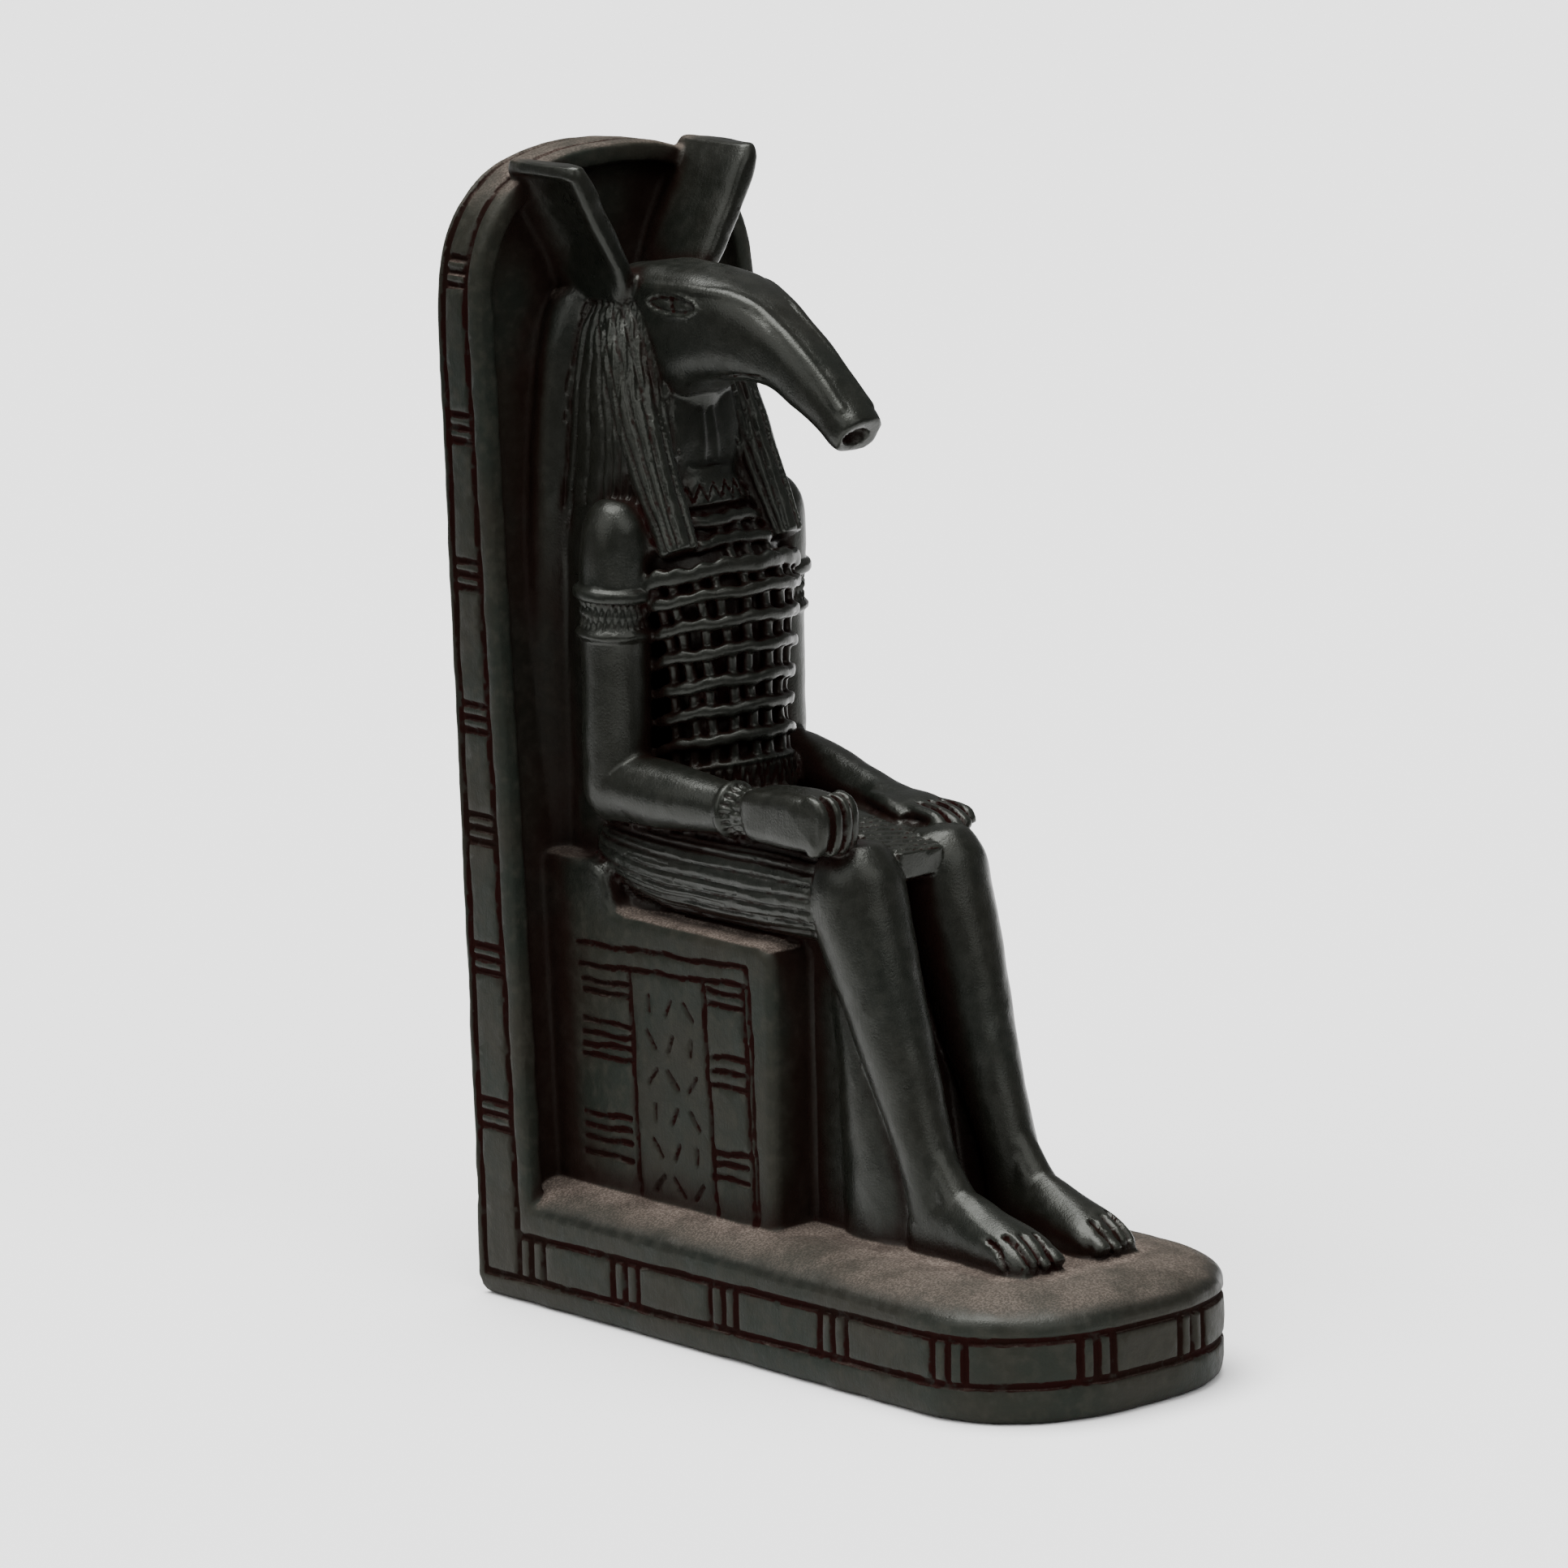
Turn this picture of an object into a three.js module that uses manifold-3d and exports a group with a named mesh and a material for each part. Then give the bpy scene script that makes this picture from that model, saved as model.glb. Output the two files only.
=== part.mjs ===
// A seated figurine of an animal-headed god: figure, throne, round-topped back slab and base in one piece.
// Millimetres, +Z up, the figure faces -Y, its right hand is on the -X side.
// While it is built, y = 0 is the foot of the back slab's front face. The finished mesh is moved so that
// the origin is the middle of the footprint box, on the ground.

import * as THREE from "three";
import { mergeVertices } from "three/addons/utils/BufferGeometryUtils.js";
import Module from "manifold-3d";

const wasm = await Module();
wasm.setup();

// Corners that stand out less than this are left out of the finished solid
const SLIVER = 0.13;

// Back slab
const HEIGHT = 200;
const SLAB_HALF_FOOT = 30.6;
const SLAB_HALF_SHOULDER = 31.5;
const ARCH_RISE = 28.2;
const ARCH_POWER = 2.5;
const SLAB_THICK_FOOT = 15.5;
const SLAB_THICK_TOP = 11.5;
const SLAB_BACK_LEAN = 0.023;
const SLAB_EDGE = 1.0;
const BEVEL_SHARE = 0.7;
const SLAB_STEPS = 20;
const RIM = 3.4;
const HOLLOW = 3.6;
const HOLLOW_COVE = 3.2;

// Base
const BASE_LENGTH = 138.8;
const BASE_SIDE = 17.7;
const BASE_TOP = 21.4;
const BASE_STEPS = 28;
const CORNER_X = 25.4;
const CORNER_Y = 21.7;
// Shares of the plan's run, from the middle of the front round to the back corner
const FRONT_SHARE = 0.1;
const CORNER_SHARE = 0.7;

// Throne
const SEAT_HALF = 20.6;
const SEAT_FRONT = -53;
const SEAT_TOP = 70.4;
const POST_TOP = 78.8;
const POST_FRONT = -9.5;

// Carved grooves
const GROOVE = 1.2;
const GROOVE_SPREAD = 0.8;
const GROOVE_DEPTH = 0.6;
const FINE_GROOVE = 0.8;
const FINE_DEPTH = 0.5;
const BAND_BACK = 2.3;
const BAND_FRONT = 3.7;
const BAND_LOW = 4.4;
const BAND_HIGH = 12.2;
const BAND_CLIMB = 2.4;
const SLAB_BLOCK_HEIGHTS = [33, 60.5, 83.5, 103, 128, 153.5, 180.5];
const SLAB_BLOCK_PITCH = 2.3;
const BASE_BLOCK_PITCH = 3.3;

// Where groups of upright grooves stand round the base: 0 and 1 are the back corners, 0.5 is the front
const BASE_BLOCKS = [0.0126, 0.0342, 0.0562, 0.0803, 0.152, 0.4];

// Figure
const RIGHT = -1;
const LEFT = 1;
const LEG_X = 9.5;

// The net over the chest
const NET_BANDS = [138, 134.6, 130.8, 126.8, 122, 117, 111.6, 106.7, 101.7];
const NET_THICK_BAND = 2;
const NET_BAND_HALF = 1.0;
const THICK_BAND_HALF = 1.3;
const NET_DROOP = 2.9;
const NET_SINK = 1.3;
const NET_STEP = Math.PI / 10;
const NET_HOLE_ANGLE = 0.12;
const NET_HOLES_ASIDE = 3;
const COLLAR_TOP = 144.3;
const COLLAR_FOOT = 141;
const BELT_TOP = 97.6;
const BELT_FOOT = 91.5;

// Armlets, bracelet and kilt
const ARMLET_TOP = 127.4;
const ARMLET_FOOT = 118.6;
const KILT_HEM = -60;

// Each row is one cross-section: x, y, z of its middle, then half width and half depth.
// Rows with a sixth value say how square the section is; 2 is round.
const TORSO = [
  [0, -12, 70, 16.0, 11.0],
  [0, -15.5, 82, 15.2, 12.2],
  [0, -17, 94, 12.6, 12.0],
  [0, -17, 106, 12.0, 11.6],
  [0, -17, 118, 13.6, 11.4],
  [0, -16.2, 128, 15.6, 11.0],
  [0, -13.6, 135, 14.6, 8.4],
  [0, -10.4, 141, 10.2, 8.2],
  [0, -9.6, 147, 8.2, 8.0],
];
const NECK = [
  [0, -8.5, 142, 8.2, 7.4],
  [0, -7.6, 150, 7.6, 6.6],
  [0, -8, 158, 7.8, 7.4],
  [0, -9, 168, 7.8, 8.0],
];
const HEAD = [
  [0, 3, 170, 8.2, 10.0, 3],
  [0, -8, 169.4, 8.7, 12.0, 3.6],
  [0, -19, 171.2, 8.5, 9.9, 3.4],
  [0, -28, 170.6, 7.6, 8.2, 3.1],
  [0, -37, 167.9, 6.2, 6.0, 2.8],
  [0, -44.6, 163.5, 5.2, 5.1, 2.6],
  [0, -50, 159.7, 4.8, 4.4, 2.6],
  [0, -53.4, 157.2, 4.7, 4.1, 2.8],
  [0, -55, 156.0, 4.3, 3.7, 2.8],
];
// The ears run back to the slab
const EAR = [
  [6.6, 2.0, 172, 2.4, 7.0, 3],
  [9.9, 2.8, 179.4, 2.5, 9.6, 3.6],
  [12.9, 2.9, 185, 2.7, 9.9, 4],
  [15.7, 2.9, 190, 2.8, 9.9, 4],
  [17.7, 2.9, 194.2, 2.9, 9.9, 4],
  [18.9, 2.9, 197.0, 2.6, 9.7, 3.4],
  [19.5, 2.9, 200.4, 1.5, 8.4, 2.4],
];
const EAR_HOLLOW = 2.2;
const EAR_TOP = 199.2;
// The wig's back slopes out into the slab's hollow
const WIG_SLOPE = [
  [0, 8, 177, 11.0, 6.0, 2],
  [0, 8, 171, 15.5, 8.0, 2],
  [0, 8, 156, 18.6, 8.4, 2],
  [0, 8, 135, 20.6, 8.4, 1.8],
  [0, 8.6, 110, 20.6, 7.8, 1.5],
  [0, 9, 74, 20.0, 7.4, 1.5],
];
const WIG = [
  [0, 0, 176, 8.8, 8.0, 2.4],
  [0, -0.5, 170, 12.4, 10.6, 2.6],
  [0, -1.5, 160, 14.8, 12.4, 2.9],
  [0, -2.5, 149, 15.9, 13.4, 3.2],
  [0, -1, 136, 16.4, 13.0, 3.2],
  [0, 2, 120, 16.0, 10.0, 3],
  [0, 1, 98, 15.6, 9.0, 3],
  [0, 1, 74, 15.6, 9.0, 3],
];
const LAPPET = [
  [8.6, -1.5, 173, 2.6, 3.4, 2],
  [9.8, -5.6, 166, 4.6, 4.4, 2],
  [10.8, -10.4, 155, 4.8, 4.4, 2],
  [11.5, -15.6, 144, 4.2, 3.6, 2.4],
  [11.9, -21.2, 133.4, 3.4, 2.8, 3],
];
const SHOULDER = [
  [5, -9, 139, 5.0, 6.0],
  [12, -10.5, 136, 6.4, 7.4],
  [17, -11, 133, 5.4, 6.4],
];
const UPPER_ARM = [
  [16.4, -11, 141.8, 2.6, 2.8],
  [17.0, -11, 139.4, 5.0, 5.4],
  [17.3, -11, 135.0, 6.0, 6.5],
  [17.5, -10.6, 124, 6.0, 6.4],
  [17.5, -10.4, 110, 5.8, 6.2],
  [17.5, -10.2, 98, 5.8, 6.2],
  [17.5, -10.2, 90.5, 5.4, 5.8],
  [17.2, -10.6, 86.6, 2.8, 3.0],
];
const FOREARM = [
  [17.5, -5.6, 91.8, 3.0, 3.0],
  [17.5, -9, 92.0, 5.4, 5.6],
  [17.2, -18, 92.4, 5.8, 6.0],
  [16.6, -28, 92.2, 5.2, 5.4],
  [15.8, -38, 92.0, 4.3, 4.4],
  [15.4, -46, 92.2, 4.1, 4.0],
  [15.3, -50, 92.2, 4.1, 4.0],
];
const LEFT_FOREARM = [
  [17.4, -5.6, 91.8, 3.0, 3.0],
  [17.4, -9, 92.0, 5.4, 5.6],
  [17.0, -18, 92.2, 5.6, 5.8],
  [16.2, -28, 91.4, 5.0, 5.2],
  [15.4, -38, 90.2, 4.2, 3.9],
  [14.8, -45, 89.8, 4.2, 3.0],
  [14.4, -50, 89.4, 5.0, 2.4],
  [14.2, -54, 88.9, 4.8, 1.9],
];
const FIST = [
  [15.6, -45.8, 92.3, 3.4, 3.2, 3],
  [15.9, -47.4, 92.6, 4.9, 4.5, 4],
  [16.1, -54, 92.9, 5.0, 4.8, 4.4],
  [16.2, -60, 92.9, 5.0, 4.8, 4.4],
  [16.1, -64.4, 92.6, 4.9, 4.4, 4],
];
const FOLDED_THUMB = [
  [11.6, -49, 94.2, 1.6, 1.8],
  [11.2, -56, 95.2, 1.7, 1.7],
  [12.6, -63.2, 95.2, 1.6, 1.5],
  [14.0, -65.6, 94.6, 1.1, 1.1],
];
// Folded fingers: x and y of the front, from the first finger outward
const FOLDED_FINGERS = [
  [12.7, -66.2],
  [14.9, -67.2],
  [17.1, -67.4],
  [19.3, -66.4],
];
const FINGER_RADIUS = 1.25;
const FINGERS = [
  [14.3, -49, 89.8, 4.8, 2.2, 2.4],
  [14.2, -54, 89.8, 5.2, 1.9, 2.6],
  [14.1, -59.4, 89.0, 5.0, 1.6, 2.8],
  [13.9, -62.8, 87.9, 3.9, 1.1, 2.6],
];
const FINGER_GAPS = [-2.5, 0, 2.5];
const THUMB = [
  [12.0, -43, 90.4, 1.4, 1.3],
  [10.2, -48, 90.2, 1.6, 1.5],
  [8.8, -54.5, 88.8, 1.0, 1.0],
];
const THIGH = [
  [8.6, -3, 81.5, 6.6, 4.6],
  [9.0, -8, 80.6, 9.2, 7.4],
  [9.4, -20, 79.4, 9.7, 8.7],
  [9.4, -34, 79.2, 9.5, 9.0],
  [LEG_X, -48, 79.4, 9.2, 9.0],
  [LEG_X, -62, 79.4, 7.8, 8.0],
];
const SHIN = [
  [LEG_X, -60.0, 88.4, 2.6, 3.4],
  [LEG_X, -60.4, 86.8, 6.0, 7.2],
  [LEG_X, -61.6, 82.4, 7.9, 9.4],
  [LEG_X, -63.8, 76.4, 7.9, 9.2],
  [9.5, -67.2, 68, 7.2, 8.2],
  [9.3, -71.2, 57, 6.4, 7.1],
  [9.1, -75.6, 45.5, 5.4, 5.8],
  [9.0, -79.8, 35, 4.9, 5.1],
  [8.9, -82.8, 24, 4.9, 6.0],
];
const CALF_FILL = [
  [8.8, -59.5, 64, 3.0, 3.0],
  [8.8, -62.8, 54, 4.0, 4.6],
  [8.9, -65.4, 42, 4.4, 6.4],
  [9.0, -67.8, 30, 4.7, 8.4],
  [9.0, -69.8, 18, 5.0, 10.2],
];
const FOOT = [
  [9.1, -76.6, 22.4, 2.8, 3.0, 2],
  [9.0, -80.0, 23.6, 4.7, 6.6, 2],
  [9.0, -83.6, 24.6, 4.8, 8.8, 2],
  [8.9, -88.5, 25.2, 4.9, 7.6, 2],
  [8.8, -94.5, 24.6, 5.3, 5.8, 2.1],
  [8.6, -100, 23.9, 5.8, 4.6, 2.3],
  [8.3, -104.4, 22.7, 5.7, 3.3, 2.6],
  [7.8, -107.0, 21.8, 5.2, 2.0, 3],
];
const TOE_GAPS = [-1.9, 0.4, 2.4, 4.2];
const TOE_GROOVE = 1.1;
const TOE_DEPTH = 1.6;

// The mouth line's distance from the middle, as a share of the head's half width there
const MOUTH_ASIDE = 0.86;
const SNOUT_HOLE = new THREE.Vector3(2.5, 2.2, 2.0);

// One uniform Catmull-Rom step between b and c
function catmullRom(a, b, c, d, f) {
  const slopeB = (c - a) / 2;
  const slopeC = (d - b) / 2;
  const cubic = 2 * b - 2 * c + slopeB + slopeC;
  const square = -3 * b + 3 * c - 2 * slopeB - slopeC;
  return ((cubic * f + square) * f + slopeB) * f + b;
}

// The cross-section at t, from 0 at the first row to 1 at the last
function rowAt(rows, t) {
  const last = rows.length - 1;
  const place = THREE.MathUtils.clamp(t, 0, 1) * last;
  const i = Math.min(Math.floor(place), last - 1);
  const pick = (k) => rows[THREE.MathUtils.clamp(k, 0, last)];
  return rows[0].map((_, c) =>
    catmullRom(pick(i - 1)[c], pick(i)[c], pick(i + 1)[c], pick(i + 2)[c], place - i),
  );
}

// Where t lies for a given value of one column, such as a height
function whereColumn(rows, column, value) {
  let low = 0;
  let high = 1;
  const rising = rows[rows.length - 1][column] > rows[0][column];
  for (let n = 0; n < 30; n++) {
    const middle = (low + high) / 2;
    const above = rowAt(rows, middle)[column] > value;
    if (above === rising) high = middle;
    else low = middle;
  }
  return (low + high) / 2;
}

function signedPower(value, power) {
  return Math.sign(value) * Math.abs(value) ** power;
}

function evenly(steps) {
  return Array.from({ length: steps + 1 }, (_, i) => i / steps);
}

function signedVolume(points, triangles) {
  const corner = [new THREE.Vector3(), new THREE.Vector3(), new THREE.Vector3()];
  let volume = 0;
  for (let i = 0; i < triangles.length; i += 3) {
    for (let k = 0; k < 3; k++) corner[k].fromArray(points, 3 * triangles[i + k]);
    volume += corner[0].dot(corner[1].cross(corner[2])) / 6;
  }
  return volume;
}

function toSolid(geometry) {
  const plain = geometry.clone();
  plain.deleteAttribute("normal");
  plain.deleteAttribute("uv");
  const merged = mergeVertices(plain, 1e-4);
  const vertProperties = new Float32Array(merged.attributes.position.array);
  const triVerts = new Uint32Array(merged.index.array);
  if (signedVolume(vertProperties, triVerts) < 0) {
    for (let i = 0; i < triVerts.length; i += 3) {
      [triVerts[i + 1], triVerts[i + 2]] = [triVerts[i + 2], triVerts[i + 1]];
    }
  }
  return new wasm.Manifold(new wasm.Mesh({ numProp: 3, vertProperties, triVerts }));
}

// Moves every vertex of a unit cylinder: place(t, angle, radius) gives its new position.
// `stations` are the values of t at which the cylinder has a ring of vertices.
function shapedCylinder(sides, stations, place) {
  const last = stations.length - 1;
  const geometry = new THREE.CylinderGeometry(1, 1, 1, sides, last);
  const position = geometry.attributes.position;
  for (let i = 0; i < position.count; i++) {
    const x = position.getX(i);
    const z = position.getZ(i);
    const t = stations[Math.round((position.getY(i) + 0.5) * last)];
    const point = place(t, Math.atan2(z, x), Math.hypot(x, z));
    position.setXYZ(i, point.x, point.y, point.z);
  }
  return toSolid(geometry);
}

// A limb follows its rows, with each section square to the limb's run.
// `relief(t, side)` moves the skin in or out; `side` is the number of the vertex round the section.
function limb(rows, options = {}) {
  const { sides = 12, stations = evenly(8), mirror = 1, relief = () => 0 } = options;
  const centre = (t) => {
    const row = rowAt(rows, t);
    return new THREE.Vector3(row[0] * mirror, row[1], row[2]);
  };
  return shapedCylinder(sides, stations, (t, angle, radius) => {
    const row = rowAt(rows, t);
    const run = centre(Math.min(t + 0.01, 1)).sub(centre(Math.max(t - 0.01, 0))).normalize();
    const wide = new THREE.Vector3(mirror, 0, 0);
    wide.addScaledVector(run, -wide.dot(run)).normalize();
    const deep = new THREE.Vector3().crossVectors(run, wide);
    const power = 2 / (row[5] ?? 2);
    const extra = relief(t, Math.round((angle * sides) / (2 * Math.PI)));
    const u = signedPower(Math.cos(angle), power) * (row[3] + extra) * radius;
    const v = signedPower(Math.sin(angle), power) * (row[4] + extra) * radius;
    return centre(t).addScaledVector(wide, u).addScaledVector(deep, v);
  });
}

// A cutter with a V section: place(t, out, up) gives the point `out` from the surface
// and `up` across the groove, for t along the groove from 0 to 1
function groove(place, steps = 1, width = GROOVE, depth = GROOVE_DEPTH) {
  return shapedCylinder(3, evenly(steps), (t, angle, radius) => {
    const out = -Math.cos(angle - Math.PI / 2) * depth * radius;
    const up = Math.sin(angle - Math.PI / 2) * width * radius * GROOVE_SPREAD;
    return place(t, out, up);
  });
}

// A side view outline, extruded to `half` on each side of the middle plane
function acrossX(shape, half, edge) {
  const geometry = new THREE.ExtrudeGeometry(shape, {
    depth: 2 * (half - edge),
    bevelThickness: edge,
    bevelSize: edge * BEVEL_SHARE,
    bevelOffset: -edge * BEVEL_SHARE,
    bevelSegments: 1,
    curveSegments: 4,
  });
  geometry.translate(0, 0, -(half - edge));
  geometry.rotateX(Math.PI / 2);
  geometry.rotateZ(Math.PI / 2);
  return toSolid(geometry);
}

function joinAll(solids) {
  return wasm.Manifold.union(solids);
}

// Back slab

function slabBack(z) {
  return SLAB_THICK_FOOT + SLAB_BACK_LEAN * z;
}

function slabThickness(z) {
  return SLAB_THICK_FOOT + ((SLAB_THICK_TOP - SLAB_THICK_FOOT) * z) / HEIGHT;
}

function slabFront(z) {
  return slabBack(z) - slabThickness(z);
}

function slabHalf(z) {
  return SLAB_HALF_FOOT + ((SLAB_HALF_SHOULDER - SLAB_HALF_FOOT) * z) / HEIGHT;
}

// A point on the slab's outline, `inset` inside it. t runs from the foot at -X over the arch to the other.
function slabOutline(t, inset, foot) {
  const spring = HEIGHT - ARCH_RISE;
  const straight = 1 / SLAB_STEPS;
  if (t < straight) return [inset - slabHalf(foot), foot];
  if (t > 1 - straight / 2) return [slabHalf(foot) - inset, foot];
  const angle = Math.PI * (1 - (t - straight) / (1 - 2 * straight));
  const power = 2 / ARCH_POWER;
  const x = (slabHalf(spring) - inset) * signedPower(Math.cos(angle), power);
  const z = spring + (ARCH_RISE - inset) * Math.abs(Math.sin(angle)) ** power;
  return [x, z];
}

function slabShape(inset, foot) {
  const points = evenly(SLAB_STEPS).map((t) => new THREE.Vector2(...slabOutline(t, inset, foot)));
  return new THREE.Shape(points);
}

// Stands an extruded outline up and gives it the slab's lean and taper
function leanSlab(geometry, depthOf) {
  const position = geometry.attributes.position;
  for (let i = 0; i < position.count; i++) {
    const z = position.getY(i);
    position.setXYZ(i, position.getX(i), depthOf(position.getZ(i), z), z);
  }
  return toSolid(geometry);
}

function slab() {
  const bevel = 0.08;
  const geometry = new THREE.ExtrudeGeometry(slabShape(SLAB_EDGE, SLAB_EDGE), {
    depth: 1,
    bevelThickness: bevel,
    bevelSize: SLAB_EDGE,
    bevelSegments: 1,
  });
  const deep = (d) => (d + bevel) / (1 + 2 * bevel);
  return leanSlab(geometry, (d, z) => slabFront(z) + slabThickness(z) * deep(d));
}

// The hollow in the slab's face, with a cove along its edge
function slabHollow() {
  const beyond = 6;
  const geometry = new THREE.ExtrudeGeometry(slabShape(RIM + HOLLOW_COVE, BASE_SIDE + HOLLOW_COVE), {
    depth: beyond,
    bevelThickness: HOLLOW,
    bevelSize: HOLLOW_COVE,
    bevelSegments: 1,
  });
  return leanSlab(geometry, (d, z) => slabFront(z) - d);
}

// Two grooves run round the slab's edge, and groups of three short ones join them
function slabGrooves() {
  const cuts = [];
  for (const [foot, place] of [
    [BAND_LOW, (z) => slabBack(z) - BAND_BACK],
    [BAND_HIGH, (z) => slabFront(z) + BAND_FRONT],
  ]) {
    const along = (t, out, up) => {
      const [x, z] = slabOutline(t, -out, foot);
      return new THREE.Vector3(x, place(z) + up, z);
    };
    cuts.push(groove(along, SLAB_STEPS));
  }
  for (const side of [RIGHT, LEFT]) {
    for (const height of SLAB_BLOCK_HEIGHTS) {
      for (const step of [-1, 0, 1]) {
        cuts.push(slabCrossGroove(side, height + step * SLAB_BLOCK_PITCH));
      }
    }
  }
  return cuts;
}

function slabCrossGroove(side, z) {
  const aboveSpring = Math.max(0, (z - HEIGHT + ARCH_RISE) / ARCH_RISE);
  const half = slabHalf(z) * (1 - aboveSpring ** ARCH_POWER) ** (1 / ARCH_POWER);
  const front = slabFront(z) + BAND_FRONT + GROOVE;
  const back = slabBack(z) - BAND_BACK - GROOVE;
  return groove((t, out, up) => {
    return new THREE.Vector3(side * (half + out), THREE.MathUtils.lerp(front, back, t), z + up);
  });
}

// Base

// A point on the base's plan, `inset` inside its edge; `turn` runs from 0 to 1 round the front
function planPoint(turn, inset) {
  const half = SLAB_HALF_FOOT - inset;
  const back = SLAB_THICK_FOOT - inset;
  const front = SLAB_THICK_FOOT - BASE_LENGTH + inset;
  const radiusX = CORNER_X - inset;
  const radiusY = CORNER_Y - inset;
  const corner = Math.abs(turn * 2 - 1);
  const side = turn < 0.5 ? -1 : 1;
  const sideStart = FRONT_SHARE + CORNER_SHARE;
  if (corner > sideStart) {
    const along = (corner - sideStart) / (1 - sideStart);
    return [side * half, THREE.MathUtils.lerp(front + radiusY, back, along)];
  }
  if (corner < FRONT_SHARE) return [(side * corner * (half - radiusX)) / FRONT_SHARE, front];
  const angle = ((corner - FRONT_SHARE) / CORNER_SHARE) * (Math.PI / 2);
  const x = half - radiusX + radiusX * Math.sin(angle);
  return [side * x, front + radiusY - radiusY * Math.cos(angle)];
}

function base() {
  const levels = [
    [0, 2.4],
    [1.0, 0.8],
    [3.2, 0],
    [BASE_SIDE - 0.8, 0],
    [BASE_SIDE + 0.3, 1.1],
    [BASE_TOP - 1.1, 5],
    [BASE_TOP, 12],
  ];
  const middle = SLAB_THICK_FOOT - BASE_LENGTH / 2;
  return shapedCylinder(BASE_STEPS, evenly(levels.length - 1), (t, angle, radius) => {
    const [z, inset] = levels[Math.round(t * (levels.length - 1))];
    const corner = (Math.round((angle / (2 * Math.PI)) * BASE_STEPS) + BASE_STEPS) % BASE_STEPS;
    const [x, y] = planPoint(corner / (BASE_STEPS - 1), inset);
    return new THREE.Vector3(x * radius, THREE.MathUtils.lerp(middle, y, radius), z);
  });
}

// The two long grooves climb a little toward the front
function baseGrooveHeight(foot, y) {
  return foot + (BAND_CLIMB * (SLAB_THICK_FOOT - y)) / BASE_LENGTH;
}

function baseGrooves() {
  const cuts = [];
  for (const [foot, start] of [
    [BAND_LOW, BAND_BACK],
    [BAND_HIGH, SLAB_THICK_FOOT - BAND_FRONT],
  ]) {
    const skip = (0.1 * start) / (BASE_LENGTH - CORNER_Y);
    const along = (t, out, up) => {
      const [x, y] = planPoint(THREE.MathUtils.clamp(t, skip, 1 - skip), -out);
      return new THREE.Vector3(x, y, baseGrooveHeight(foot, y) + up);
    };
    cuts.push(groove(along, BASE_STEPS - 1));
  }
  for (const turn of [...BASE_BLOCKS, ...BASE_BLOCKS.map((t) => 1 - t)]) {
    for (const step of [-1, 0, 1]) cuts.push(baseUprightGroove(turn, step * BASE_BLOCK_PITCH));
  }
  return cuts;
}

function baseUprightGroove(turn, shift) {
  const near = 0.001;
  const before = new THREE.Vector2(...planPoint(turn - near, 0));
  const run = new THREE.Vector2(...planPoint(turn + near, 0)).sub(before).normalize();
  return groove((t, out, up) => {
    const [x, y] = planPoint(turn, -out);
    const low = baseGrooveHeight(BAND_LOW, y) + GROOVE;
    const high = baseGrooveHeight(BAND_HIGH, y) - GROOVE;
    const aside = shift + up;
    return new THREE.Vector3(x + run.x * aside, y + run.y * aside, THREE.MathUtils.lerp(low, high, t));
  });
}

// Throne

function throne() {
  const shape = new THREE.Shape();
  const back = 12;
  shape.moveTo(back, BASE_SIDE);
  shape.lineTo(SEAT_FRONT, BASE_SIDE);
  shape.lineTo(SEAT_FRONT, SEAT_TOP - 3);
  shape.quadraticCurveTo(SEAT_FRONT, SEAT_TOP, SEAT_FRONT + 3, SEAT_TOP);
  shape.lineTo(POST_FRONT - 5, SEAT_TOP);
  shape.quadraticCurveTo(POST_FRONT - 1, SEAT_TOP, POST_FRONT, POST_TOP - 4);
  shape.quadraticCurveTo(POST_FRONT + 1, POST_TOP, POST_FRONT + 5, POST_TOP);
  shape.lineTo(back, POST_TOP);
  return acrossX(shape, SEAT_HALF, 1.6);
}

// A straight groove on a throne side, between two points given as y and z
function panelGroove(side, from, to, width = FINE_GROOVE) {
  const run = new THREE.Vector2(to[0] - from[0], to[1] - from[1]).normalize();
  return groove((t, out, up) => {
    const y = THREE.MathUtils.lerp(from[0], to[0], t) - run.y * up;
    const z = THREE.MathUtils.lerp(from[1], to[1], t) + run.x * up;
    return new THREE.Vector3(side * (SEAT_HALF + out), y, z);
  }, 1, width);
}

// The framed panel on each throne side, with rows of shallow strokes in place of its signs
function throneGrooves() {
  const foot = BASE_TOP - 1;
  const lines = [
    [[-2, 64.0], [-46.8, 66.2]],
    [[-2, 60.2], [-46.7, 63.1]],
    [[-46.8, 66.2], [-48.6, foot]],
    [[-15.6, 60.8], [-17.4, foot]],
    [[-34.8, 62.4], [-37.9, foot]],
  ];
  for (const z of [57.6, 50.4, 46.3, 31.8]) lines.push([[-3, z], [-15.4, z + 0.6]]);
  for (const z of [49.4, 45.6, 32.7, 29.4]) lines.push([[-37, z], [-46, z + 0.5]]);
  for (const z of [52, 41, 30]) {
    for (const y of [-22, -29]) lines.push([[y, z + 2.2], [y - 1.2, z - 2.2]]);
  }
  return [RIGHT, LEFT].flatMap((side) => lines.map(([from, to]) => panelGroove(side, from, to)));
}

// Stone left standing between the throne and the legs
function legWeb() {
  const shape = new THREE.Shape();
  shape.moveTo(SEAT_FRONT + 4, BASE_SIDE);
  shape.lineTo(-77, BASE_SIDE);
  shape.quadraticCurveTo(-69, 40, -64.5, 62);
  shape.quadraticCurveTo(-62, 74, -54, 75);
  shape.lineTo(SEAT_FRONT + 4, 75);
  return acrossX(shape, 11.6, 1.6);
}

// Figure

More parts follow.
